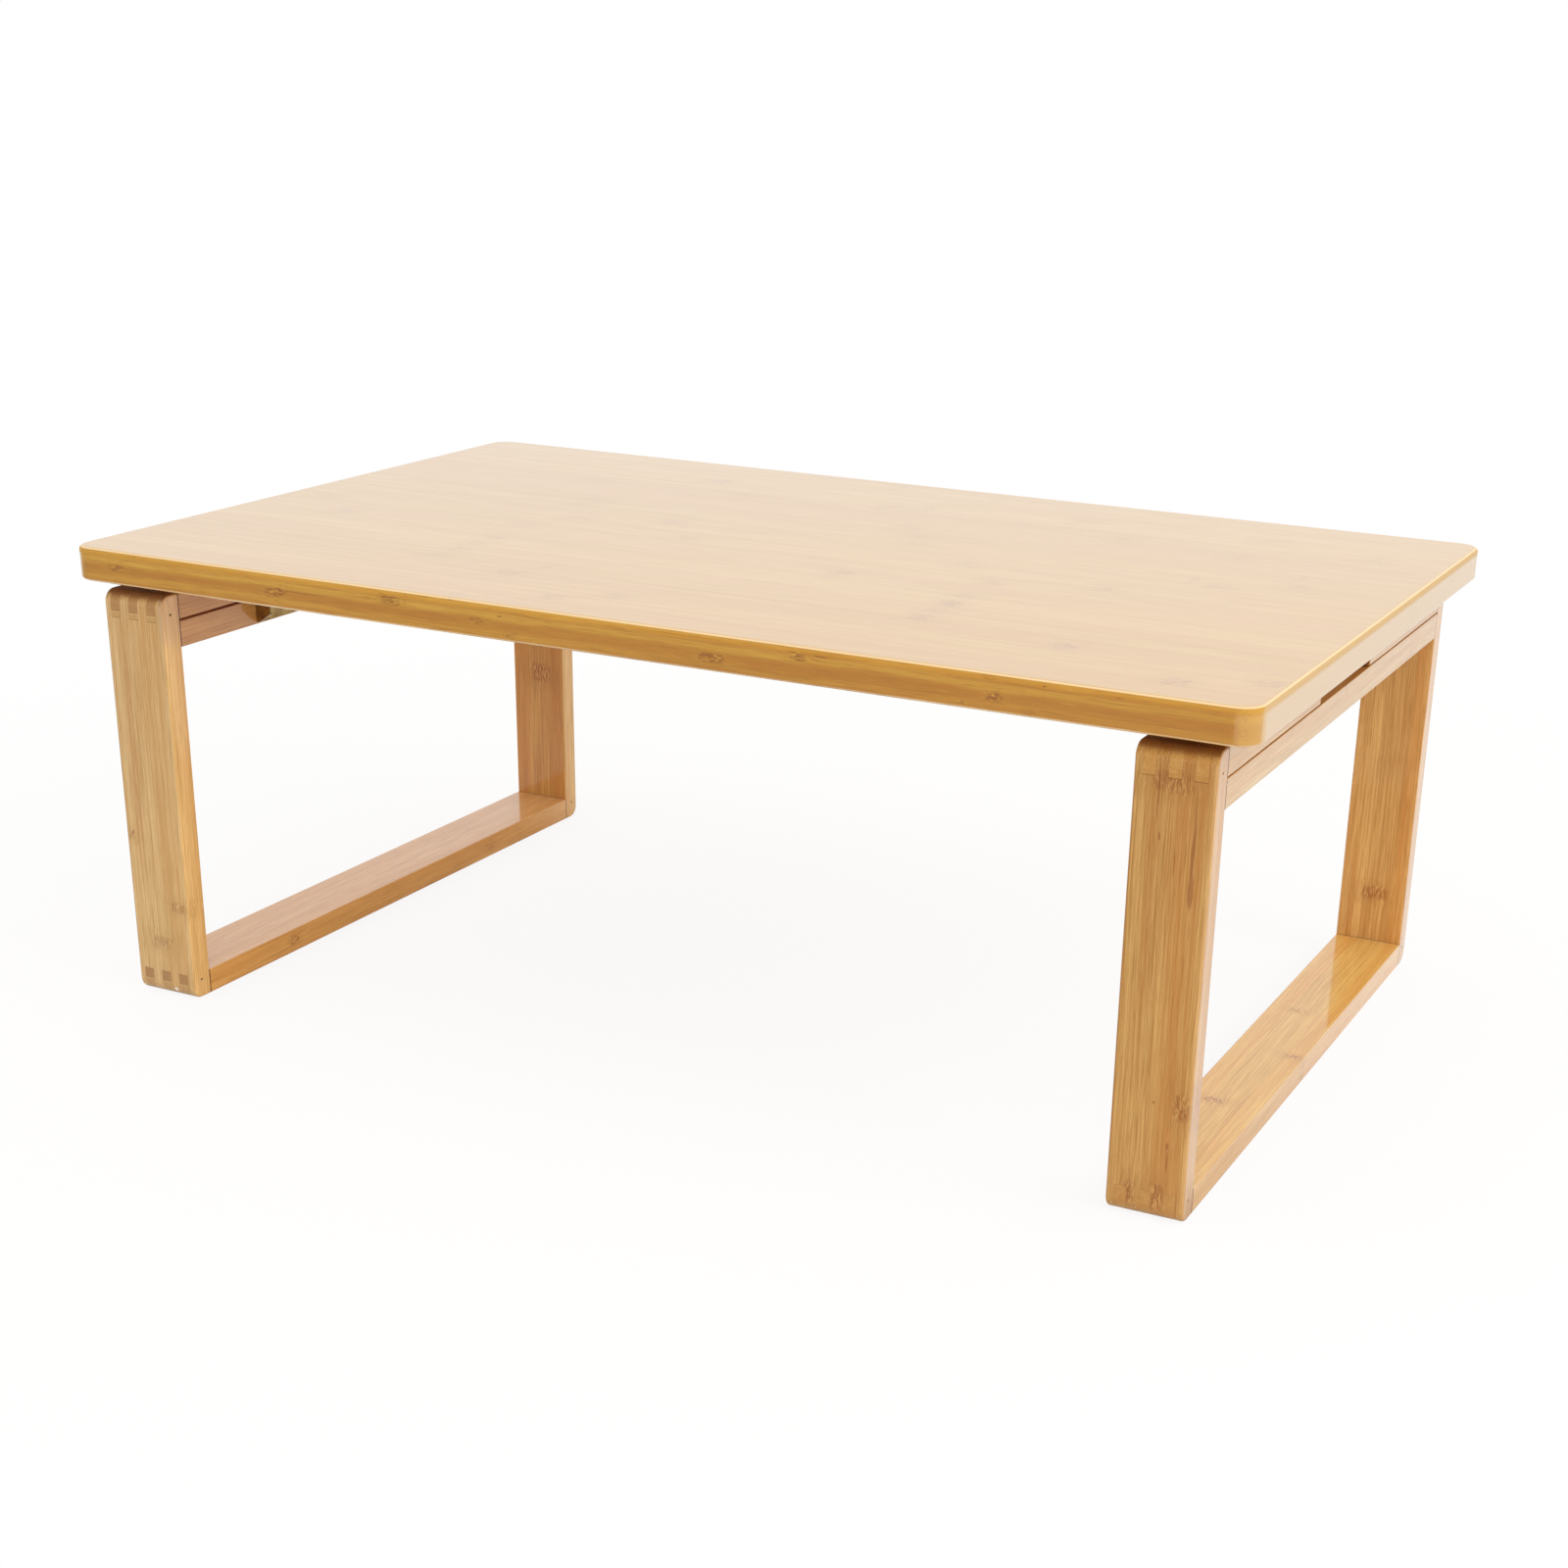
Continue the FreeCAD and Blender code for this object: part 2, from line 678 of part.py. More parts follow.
def make_spring(side_name, end_name):
    """Makes the bent strip whose blade lies on the cam block's inboard flat."""
    body = new_body(f"{side_name}_{end_name}_detent_spring")
    profile = new_sketch(body, "XZ_Plane", "Section")
    back = "spring_face + spring_gauge"
    foot_end = "spring_face + spring_foot"
    draw_polygon(profile, [
        ("spring_face", "plate_bottom"),
        ("spring_face", "spring_tip"),
        (back, "spring_tip"),
        (back, "spring_underside"),
        (foot_end, "spring_underside"),
        (foot_end, "plate_bottom"),
    ])
    pad(body, profile, "Strip", "spring_width")
    outer = straight_along("y", x=number("spring_face"), z=number("plate_bottom"))
    round_edges(body, "BendOutside", "spring_bend_inside + spring_gauge", outer)
    inner = straight_along("y", x=number(back), z=number("spring_underside"))
    round_edges(body, "BendInside", "spring_bend_inside", inner)
    holes = new_sketch(body, "XY_Plane", "RivetHoles")
    for reach in ("rivet_near", "rivet_far"):
        draw_circle(holes, (reach, "0"), "rivet_diameter")
    cut_through(body, holes, "Holes")
    place_on_pivot(body, side_name, end_name)


def make_fastener(label, kind, length, point):
    """Makes one headed fastener: its head hangs below zero and its shank points up."""
    body = new_body(label, is_node=False)
    half = new_sketch(body, "XZ_Plane", "HalfOutline")
    head = f"{kind}_head_diameter / 2"
    height = f"{kind}_head_height"
    bevel = f"{kind}_head_bevel"
    shank = f"{kind}_diameter / 2"
    corners = [
        ("0", f"-{height}"),
        (f"{head} - {bevel}", f"-{height}"),
        (head, f"-({height} - {bevel})"),
        (head, "0"),
        (shank, "0"),
    ]
    if point == "0":
        corners += [(shank, length), ("0", length)]
    else:
        corners += [(shank, f"{length} - {point}"), ("0", length)]
    draw_polygon(half, corners)
    turn(body, half)
    return body


def cut_cross_recess(body):
    """Sinks a driver's cross into a screw head."""
    for name, reach, width in (("SlotOne", "recess_span", "recess_width"),
                               ("SlotTwo", "recess_width", "recess_span")):
        slot = new_sketch(body, "XY_Plane", name, "recess_depth - screw_head_height")
        draw_box(slot, (f"-{reach} / 2", f"-{width} / 2"), (f"{reach} / 2", f"{width} / 2"))
        cut_to_depth(body, slot, f"{name}Cut", "recess_depth + overrun", False)


def link_to(master, name, across, along, up, axis, angle):
    """Repeats a master fastener at another place."""
    link = doc.addObject("App::Link", name)
    link.LinkedObject = master
    place(link, across, along, up, axis, angle, prop="LinkPlacement")
    return link


def make_top_screws(side_name, master):
    """Makes the screws that hold one side's base plates to the top."""
    parts = []
    plate = "underside - base_gauge"
    for across, along in top_screw_places(SIDES[side_name]):
        name = f"{side_name}_top_screw"
        parts.append(link_to(master, name, across, along, plate, Vector(0, 0, 1), 0))
    gather(f"{side_name}_base_screws", parts)


def make_leaf_screws(side_name, master):
    """Makes the screws that hold one hoop's leaves to its two upper rails."""
    parts = []
    side = SIDES[side_name]
    seat = f"{side} * (hoop_inside - leaf_gauge)"
    for along in leaf_screw_offsets():
        for level in ("upper_screw_level", "lower_screw_level"):
            name = f"{side_name}_leaf_screw"
            angle = side * QUARTER_TURN
            parts.append(link_to(master, name, seat, along, level, Vector(0, 1, 0), angle))
    gather(f"{side_name}_leaf_screws", parts)


def make_rivets(side_name, master):
    """Makes the rivets that hold one side's springs to the base plates."""
    parts = []
    side = SIDES[side_name]
    seat = "pivot_level + spring_underside"
    for end in ENDS.values():
        for reach in ("rivet_near", "rivet_far"):
            across = f"{side} * (pivot_reach - {reach})"
            along = f"{end} * bracket_reach"
            name = f"{side_name}_rivet"
            parts.append(link_to(master, name, across, along, seat, Vector(0, 0, 1), 0))
    gather(f"{side_name}_spring_rivets", parts)


def write_nodes():
    """Checks every object and writes each node's shape to its own file."""
    doc.recompute()
    for item in doc.Objects:
        if "Invalid" in item.State or "Error" in item.State:
            raise RuntimeError(f"{item.Name} failed: {item.State}")
    os.makedirs("parts", exist_ok=True)
    for node in nodes:
        shape = node.Shape
        if shape.isNull() or not shape.isValid():
            raise RuntimeError(f"{node.Label} has no valid shape")
        shape.exportStep(f"parts/{node.Label}.step")
        print(node.Label, len(shape.Solids), round(shape.Volume, 1))
    print(len(nodes), "nodes")


fill_sheet()
make_tabletop()
top_screw = make_fastener("top_screw_master", "screw", "top_screw_length", "screw_point")
cut_cross_recess(top_screw)
leaf_screw = make_fastener("leaf_screw_master", "screw", "leaf_screw_length", "screw_point")
cut_cross_recess(leaf_screw)
rivet = make_fastener("rivet_master", "rivet", "spring_gauge + base_gauge", "0")
for side_name in SIDES:
    for end_name in ENDS:
        make_upright(side_name, end_name)
    make_rails(side_name)
    make_joint_nails(side_name)
    make_dowels(side_name)
    for end_name in ENDS:
        make_base(side_name, end_name)
        make_leaf(side_name, end_name)
        make_cam(side_name, end_name)
        make_pin(side_name, end_name)
        make_spring(side_name, end_name)
    make_top_screws(side_name, top_screw)
    make_leaf_screws(side_name, leaf_screw)
    make_rivets(side_name, rivet)
write_nodes()
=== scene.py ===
"""Looks of the folding bamboo coffee table: board finishes, steel finishes, studio, camera."""

import logging
from dataclasses import astuple, dataclass
from enum import Enum
from typing import Optional, Union

import bmesh
import bpy
from mathutils import Euler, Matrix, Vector

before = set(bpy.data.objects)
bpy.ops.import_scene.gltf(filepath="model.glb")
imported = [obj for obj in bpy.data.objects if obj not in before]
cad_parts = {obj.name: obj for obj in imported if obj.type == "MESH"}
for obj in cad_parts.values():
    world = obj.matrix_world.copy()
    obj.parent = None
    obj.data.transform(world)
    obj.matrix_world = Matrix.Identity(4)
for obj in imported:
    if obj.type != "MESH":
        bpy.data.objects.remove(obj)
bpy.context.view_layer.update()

Colour = tuple[float, float, float]
Place = tuple[float, float, float]
Band = tuple[float, float]
Spot = tuple[float, ...]
Material = bpy.types.Material
Socket = bpy.types.NodeSocket
Shade = Union[Socket, Colour]

MM = 0.001
TO_MM = 1000.0
WHITE = (1.0, 1.0, 1.0)


class Axis(Enum):
    """An axis of the table's own frame: along the top, across it, and up."""

    X = 0
    Y = 1
    Z = 2


class Side(Enum):
    """An end of the table, as the names of its pieces give it."""

    LEFT = "left"
    RIGHT = "right"


def span(node: str, axis: Axis) -> Band:
    """Tells from where to where a solid of the frame reaches.

    Args:
        node: The solid's name.
        axis: The axis to measure along.

    Returns:
        Its lowest and highest place, in millimetres.
    """
    places = [vertex.co[axis.value] * TO_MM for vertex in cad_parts[node].data.vertices]
    return round(min(places), 3), round(max(places), 3)


# The table's sizes in millimetres, as its own solids have them
UNDERSIDE, TABLE_HEIGHT = span("tabletop", Axis.Z)
TOP_HALF_LENGTH = span("tabletop", Axis.X)[1]
TOP_HALF_DEPTH = span("tabletop", Axis.Y)[1]
HOOP_HALF_DEPTH = span("right_rear_upright", Axis.Y)[1]
HOOP_HEIGHT = span("right_rear_upright", Axis.Z)[1]
HOOP_CENTRE = sum(span("right_rear_upright", Axis.X)) / 2
BOARD_HALF_WIDTH = span("right_rear_upright", Axis.X)[1] - HOOP_CENTRE
UPRIGHT_THICKNESS = HOOP_HALF_DEPTH - span("right_rear_upright", Axis.Y)[0]
RAIL_THICKNESS = span("right_bottom_rail", Axis.Z)[1]
SUB_RAIL_UNDERSIDE, SUB_RAIL_TOP = span("right_sub_rail", Axis.Z)
RAIL_GAP = span("right_top_rail", Axis.Z)[0] - SUB_RAIL_TOP
HOOP_CORNER_RADIUS = 8.5
FINGER_WIDTH = 7.4

# How far from a board's middle its joint has glue lines, in fingers
INNER_FINGERS = (2.6, 2.7)

# Bands of the panel's edge, in millimetres from its underside
BROWN_PLIES = (12.2, 14.2)
BROWN_RIGHT_PLIES = (11.0, 15.0)
TOP_PLY = (17.0, 19.5)
DULL_ROUNDING = (16.0, 19.0)

# Heights of thin lines on the panel's edge, the lowest a painted highlight on its lower arris, and
# how far from its middle the edge reaches
PALE_PLY = UNDERSIDE + 4.6
DARK_PLY = UNDERSIDE + 10.4
LOWER_ARRIS_HIGHLIGHT = UNDERSIDE + 0.9
PANEL_MIDDLE = (UNDERSIDE + TABLE_HEIGHT) / 2
FACE_TO_EDGE = (TABLE_HEIGHT - PANEL_MIDDLE - 0.5, TABLE_HEIGHT - PANEL_MIDDLE - 0.05)

# Bands under the panel's upper face, in millimetres from it; the last two hold the painted
# highlight on its upper arris
DULL_ROUNDING_TOP = (-0.8, -0.2)
BELOW_FACE = (-1.0, -0.4)
HIGHLIGHT_FOOT = (-1.3, -0.8)
HIGHLIGHT_HEAD = (-0.4, -0.1)

# Bands at the panel's ends, in millimetres from its outline, and how far in the pores lie; the
# last three bands carry painted light
PANEL_END = (-14.0, -8.0)
END_PORES = 9.0
END_LIT_RIM = (-4.0, -2.5)
END_LIT_OUTLINE = (-1.2, -0.2)
LIT_RIM_CORNER = (-18.0, -10.0)

# Bands of the hoops' upper corners, in millimetres from their top and from their outside: where
# painted shade lies under the panel, and where the lacquer runs thin
CROWN_SHADE = (-5.2, -1.8)
CROWN_SHADE_REACH = (-18.0, -12.0)
BARE_CROWN = (-9.0, -5.0)
BARE_CROWN_REACH = (-18.0, -15.0)

# Bands of a hoop's board: its broad face, its end grain, the end of the painted shade in the grip
# notch, and the painted light and shade from foot to head
BROAD_FACE = (BOARD_HALF_WIDTH - 1.0, BOARD_HALF_WIDTH - 0.1)
END_GRAIN = (-HOOP_CORNER_RADIUS * 0.6, -1.5)
GRIP_SHADE_END = (54.0, 56.0)
FOOT_TO_HEAD = (20.0, 270.0)

# Half widths of thin lines in millimetres: how far each is full, and where it is gone
SEAM_LINE = (0.1, 0.4)
PALE_LINE = (0.6, 2.6)
DARK_LINE = (0.8, 2.6)
ARRIS_LINE = (0.3, 0.9)
PORE_LINE = (1.0, 7.0)
GLUE_LINE = (0.1, 0.5)
FINGER_LINE = (0.08, 0.3)

# Levels of noise between which a mark comes up or goes
BLUSHING = (0.65, 1.1)
SEAMED = (0.35, 0.65)
DARK_DASHES = (0.54, 0.7)
END_DASHES = (0.5, 0.65)
DARK_TICKS = (0.58, 0.7)
PALE_TICKS = (0.2, 0.36)
CHARRED_KNOTS = (0.44, 0.56)
PALE_KNOTS = (0.36, 0.44)
OPEN_PORES = (0.5, 0.62)
BLOTCHED = (0.35, 0.6)


def linear(level: int) -> float:
    """Gives a level of 0 to 255 as the linear light that a shader works in."""
    share = level / 255
    return share / 12.92 if share <= 0.04045 else ((share + 0.055) / 1.055) ** 2.4


def srgb(red: int, green: int, blue: int) -> Colour:
    """Gives a picture's colour as the linear light that a shader works in."""
    return linear(red), linear(green), linear(blue)


class Signal:
    """A number in a shader. Sums on it add Math nodes."""

    def __init__(self, graph: "Graph", socket: Socket) -> None:
        """Wraps one output socket of a graph."""
        self.graph = graph
        self.socket = socket

    def __add__(self, other: "Number") -> "Signal":
        """Adds."""
        return self.graph.math("ADD", self, other)

    def __radd__(self, other: float) -> "Signal":
        """Adds to a plain number."""
        return self.graph.math("ADD", other, self)

    def __sub__(self, other: "Number") -> "Signal":
        """Subtracts."""
        return self.graph.math("SUBTRACT", self, other)

    def __rsub__(self, other: float) -> "Signal":
        """Subtracts from a plain number."""
        return self.graph.math("SUBTRACT", other, self)

    def __mul__(self, other: "Number") -> "Signal":
        """Multiplies."""
        return self.graph.math("MULTIPLY", self, other)

    def __rmul__(self, other: float) -> "Signal":
        """Multiplies a plain number."""
        return self.graph.math("MULTIPLY", other, self)

    def __truediv__(self, other: "Number") -> "Signal":
        """Divides."""
        return self.graph.math("DIVIDE", self, other)

    def __rtruediv__(self, other: float) -> "Signal":
        """Divides a plain number."""
        return self.graph.math("DIVIDE", other, self)

    def __abs__(self) -> "Signal":
        """Takes the size without the sign."""
        return self.graph.math("ABSOLUTE", self)

    def floor(self) -> "Signal":
        """Rounds down."""
        return self.graph.math("FLOOR", self)

    def fraction(self) -> "Signal":
        """Keeps what lies past the whole number."""
        return self.graph.math("FRACT", self)

    def at_most(self, other: "Number") -> "Signal":
        """Takes the smaller of two."""
        return self.graph.math("MINIMUM", self, other)

    def at_least(self, other: "Number") -> "Signal":
        """Takes the larger of two."""
        return self.graph.math("MAXIMUM", self, other)

    def rise(self, low: float, high: float, start: float = 0.0) -> "Signal":
        """Goes smoothly from 0 to 1 between low and high, both counted from a start."""
        return self.graph.ramp(self, start + low, start + high)

    def fall(self, low: float, high: float, start: float = 0.0) -> "Signal":
        """Goes smoothly from 1 to 0 between low and high, both counted from a start."""
        return 1 - self.rise(low, high, start)

    def hill(self, inner: float, outer: float) -> "Signal":
        """Is 1 within inner of zero and 0 beyond outer."""
        return abs(self).fall(inner, outer)


Number = Union[Signal, float]


class Ray(Enum):
    """What a shader can learn about the ray that meets it."""

    CAMERA = "Is Camera Ray"
    GLOSSY = "Is Glossy Ray"
    TRANSMISSION = "Is Transmission Ray"
    LENGTH = "Ray Length"


class End(Enum):
    """The node that a tree ends in."""

    MATERIAL = "ShaderNodeOutputMaterial"
    WORLD = "ShaderNodeOutputWorld"


class Graph:
    """The node tree of a material or a world, filled from Python expressions."""

    def __init__(self, owner: Union[Material, bpy.types.World]) -> None:
        """Empties the tree.

        Args:
            owner: The material or world whose tree it is.
        """
        owner.use_nodes = True
        self.tree = owner.node_tree
        self.tree.nodes.clear()

    def add(self, kind: str, inputs: Optional[dict] = None,
            settings: Optional[dict] = None) -> bpy.types.Node:
        """Adds one node.

        Args:
            kind: The node's type.
            inputs: Values or links, by socket name or number.
            settings: Properties, which are set first.

        Returns:
            The new node.
        """
        node = self.tree.nodes.new(kind)
        for name, value in (settings or {}).items():
            setattr(node, name, value)
        for key, value in (inputs or {}).items():
            socket = node.inputs[key]
            if isinstance(value, Signal):
                value = value.socket
            if isinstance(value, Socket):
                self.tree.links.new(value, socket)
            elif isinstance(value, tuple) and socket.type == "RGBA":
                socket.default_value = (*value, 1.0)
            else:
                socket.default_value = value
        return node

    def math(self, operation: str, *values: Number) -> Signal:
        """Works out one sum of numbers with a Math node."""
        node = self.add("ShaderNodeMath", dict(enumerate(values)), {"operation": operation})
        return Signal(self, node.outputs[0])

    def ramp(self, value: Number, low: float, high: float) -> Signal:
        """Goes smoothly from 0 to 1 as a value passes from low to high."""
        node = self.add("ShaderNodeMapRange", {"Value": value, "From Min": low, "From Max": high},
                        {"interpolation_type": "SMOOTHSTEP"})
        return Signal(self, node.outputs["Result"])

    def vector(self, *values: Number) -> Socket:
        """Joins three numbers into a vector."""
        return self.add("ShaderNodeCombineXYZ", dict(enumerate(values))).outputs[0]

    def split(self, vector: Socket) -> list[Signal]:
        """Gives the three numbers of a vector."""
        node = self.add("ShaderNodeSeparateXYZ", {0: vector})
        return [Signal(self, output) for output in node.outputs]

    def arrange(self, operation: str, *vectors: Shade) -> Socket:
        """Works on vectors with a Vector Math node.

        Args:
            operation: What the node does.
            vectors: What it works on.

        Returns:
            The vector, or for a dot product the number.
        """
        node = self.add("ShaderNodeVectorMath", dict(enumerate(vectors)), {"operation": operation})
        return node.outputs["Value" if operation == "DOT_PRODUCT" else "Vector"]

    def place(self) -> list[Signal]:
        """Gives the place on the piece, in the table's own frame.

        Returns:
            The place along x, y and z, in millimetres.
        """
        place = self.add("ShaderNodeTexCoord").outputs["Object"]
        scaled = self.add("ShaderNodeVectorMath", {0: place, "Scale": TO_MM},
                          {"operation": "SCALE"})
        return self.split(scaled.outputs["Vector"])

    def ray(self, fact: Ray) -> Signal:
        """Tells one thing about the ray that meets the surface."""
        return Signal(self, self.add("ShaderNodeLightPath").outputs[fact.value])

    def shown(self) -> Signal:
        """Is 1 to the camera, in reflections and through what is clear, else 0."""
        seen = self.ray(Ray.CAMERA).at_least(self.ray(Ray.GLOSSY))
        return seen.at_least(self.ray(Ray.TRANSMISSION))

    def noise(self, place: Socket, detail: float, roughness: float) -> Signal:
        """Gives soft noise, about 0.5, that changes over one unit of the place."""
        node = self.add("ShaderNodeTexNoise",
                        {"Vector": place, "Scale": 1.0, "Detail": detail, "Roughness": roughness},
                        {"noise_dimensions": "3D"})
        return Signal(self, node.outputs["Fac"])

    def dice(self, place: Socket) -> list[Signal]:
        """Gives three numbers from 0 to 1, by chance but the same for the same place."""
        node = self.add("ShaderNodeTexWhiteNoise", {"Vector": place}, {"noise_dimensions": "3D"})
        return self.split(node.outputs["Color"])

    def mix(self, first: Shade, second: Shade, share: Number) -> Socket:
        """Mixes two colours.

        Args:
            first: The colour at a share of 0.
            second: The colour at a share of 1.
            share: How much of the second is used.

        Returns:
            The mixed colour.
        """
        node = self.add("ShaderNodeMix", {0: share, 6: first, 7: second}, {"data_type": "RGBA"})
        return node.outputs[2]

    def blend(self, first: Socket, second: Socket, share: Signal) -> Socket:
        """Mixes two shaders, as mix does two colours."""
        return self.add("ShaderNodeMixShader", {0: share, 1: first, 2: second}).outputs[0]

    def bump(self, height: Signal, strength: float, distance: float) -> Socket:
        """Turns the surface's normal as a relief of that height would, in metres."""
        node = self.add("ShaderNodeBump",
                        {"Strength": strength, "Distance": distance, "Height": height})
        return node.outputs["Normal"]

    def apart(self, place: Socket, marks: tuple["Mark", ...], blunt: bool = False) -> Signal:
        """Tells how far a place lies from the nearest of several marks.

        Args:
            place: The place, along, across and into the board.
            marks: The marks, at least one.
            blunt: Whether an outline is a soft rectangle. Otherwise it is an oval.

        Returns:
            0 at a mark's middle and 1 at its outline. A weaker mark starts above 0.
        """
        nearest = None
        for mark in marks:
            sizes = (mark.length, mark.width, mark.height)
            centre = (mark.along, mark.across, mark.deep)
            offset = self.arrange("MULTIPLY_ADD", place, tuple(1 / size for size in sizes),
                                  tuple(-at / size for at, size in zip(centre, sizes)))
            square = self.arrange("MULTIPLY", offset, offset)
            total = Signal(self, self.arrange("DOT_PRODUCT", square, square if blunt else WHITE))
            total = total + (1 - mark.strength)
            nearest = nearest.at_most(total) if nearest else total
        return nearest

    def finish(self, shader: Socket, end: End = End.MATERIAL) -> None:
        """Sends a shader to the tree's output."""
        self.add(end.value, {"Surface": shader})

    def surface(self, inputs: dict) -> None:
        """Ends the tree in a Principled shader with these values and links."""
        self.finish(self.add("ShaderNodeBsdfPrincipled", inputs).outputs["BSDF"])


@dataclass(frozen=True)
class Weave:
    """Noise with a rate of its own each way, in changes per millimetre."""

    rates: tuple[float, float, float]
    detail: float = 2.0
    roughness: float = 0.5

    def lay(self, graph: Graph, places: tuple[Number, ...], shift: float = 0.0) -> Signal:
        """Lays the noise over a piece.

        Args:
            graph: The piece's material.
            places: The place on it each way, in millimetres.
            shift: What sets its noise apart from another piece's.

        Returns:
            The noise, about 0.5.
        """
        first, second, third = (place * rate for place, rate in zip(places, self.rates))
        if shift:
            third = third + shift
        return graph.noise(graph.vector(first, second, third), self.detail, self.roughness)


# Noise of the bamboo along its fibres, across them and into the board
WANDER = Weave((0.004, 0.03, 0.03))
JAG = Weave((0.12, 0.8, 0.2), detail=3.0)
TANGLE = Weave((0.1, 0.25, 0.2), detail=1.0)
FINE = Weave((0.014, 1.1, 1.1), detail=4.0, roughness=0.75)
COARSE = Weave((0.004, 0.14, 0.14))
DASHES = Weave((0.03, 1.2, 1.2))
TICKS = Weave((0.07, 2.6, 2.6), detail=1.0)
KNOTS = Weave((0.2, 1.1, 1.1), roughness=0.7)
SWELL = Weave((0.014, 0.05, 1.0))

# Noise of the steel and of the dowels along the table's axes
PATCHES = Weave((0.12, 0.12, 0.12), detail=3.0, roughness=0.6)
SCRATCHES = Weave((0.6, 3.5, 0.6), roughness=0.6)
SPECKLES = Weave((2.5, 2.5, 2.5), detail=1.0)
PORES = Weave((1.8, 1.8, 0.08), detail=3.0, roughness=0.6)


class Grain(Enum):
    """How a board lies: the axis of its fibres, of its width and of its thickness."""

    ALONG_TOP = (Axis.X, Axis.Y, Axis.Z)
    UPRIGHT = (Axis.Z, Axis.X, Axis.Y)
    ALONG_RAIL = (Axis.Y, Axis.X, Axis.Z)


@dataclass(frozen=True)
class Mark:
    """A spot on a board: a culm's knuckle, or a stain between the fibres.

    Places are millimetres in the table's frame. Sizes are half of the spot's own, and a
    spot goes through the whole board unless its height says otherwise.
    """

    along: float
    across: float
    length: float = 5.0
    width: float = 9.0
    strength: float = 1.0
    deep: float = 0.0
    height: float = 1000.0


@dataclass(frozen=True)
class Tones:
    """The colours of one board, from its palest fibre to its darkest."""

    pale: Shade
    deep: Shade
    blush: Shade
    fibre: Shade
    knuckle: Shade
    end: Shade


AMBER = Tones(
    pale=srgb(206, 162, 93),
    deep=srgb(171, 120, 57),
    blush=srgb(187, 124, 54),
    fibre=srgb(152, 101, 40),
    knuckle=srgb(138, 72, 26),
    end=srgb(183, 132, 65),
)
HONEY = Tones(
    pale=srgb(218, 185, 132),
    deep=srgb(189, 148, 91),
    blush=srgb(200, 154, 93),
    fibre=srgb(169, 128, 74),
    knuckle=srgb(140, 88, 44),
    end=srgb(166, 122, 73),
)
BUTTER = Tones(
    pale=srgb(222, 179, 106),
    deep=srgb(201, 154, 78),
    blush=srgb(213, 162, 98),
    fibre=srgb(180, 132, 72),
    knuckle=srgb(172, 112, 70),
    end=srgb(196, 154, 96),
)
GOLDEN = Tones(
    pale=srgb(207, 160, 62),
    deep=srgb(188, 136, 42),
    blush=srgb(174, 113, 34),
    fibre=srgb(162, 106, 32),
    knuckle=srgb(138, 82, 28),
    end=srgb(204, 156, 66),
)
# Brown of the dark joint lines, also painted as shade on the hoops' upper roundings and in the
# grip notch
SEAM_AND_SHADE_BROWN = srgb(112, 56, 16)
# Painted light of the panel's end faces
END_FACE_LIGHT = srgb(204, 172, 124)
# Painted highlight of the panel's arrises
ARRIS_HIGHLIGHT = srgb(248, 222, 174)
# Painted white glints
WHITE_GLINT = srgb(244, 240, 232)
FOOT_LIGHT = (1.03, 1.02, 1.01)
HEAD_SHADE = (0.95, 0.925, 0.935)
# Painted light inside the rails' groove, and painted shade on its lips
GROOVE_LIT = srgb(206, 148, 82)
GROOVE_INSIDE_LIGHT = srgb(226, 144, 74)
GROOVE_DIM = srgb(146, 84, 42)


@dataclass(frozen=True)
class Character:
    """What tells one board from the next: its colours, and the marks that are its own.

    Each board's broad faces are multiplied by its tone, which also paints light and shade on them,
    and its narrow sides by a factor that paints light and shade. Some of its marks and patches are
    painted shade.
    """

    tones: Tones = AMBER
    contrast: float = 1.0
    streaks: float = 0.5
    tone_and_lighting: Colour = WHITE
    side_lighting: Colour = WHITE
    knuckles: tuple[Mark, ...] = ()
    stains: tuple[Mark, ...] = ()
    painted_glints: tuple[Mark, ...] = ()
    patches_and_shading: tuple[tuple[Mark, Colour], ...] = ()


@dataclass(frozen=True)
class Wood:
    """One board's material so far: its tones, and the places, strips and noise on it."""

    graph: Graph
    tones: Tones
    streaks: Number
    on_edge: Number
    x: Signal
    y: Signal
    z: Signal
    along: Signal
    across: Signal
    deep: Signal
    edge: Signal
    chance: list[Signal]
    wander: Signal
    jag: Signal
    band: Signal
    halo: Signal
    fine: Signal
    coarse: Signal
    dashes: Signal
    ticks: Signal
    knots: Signal


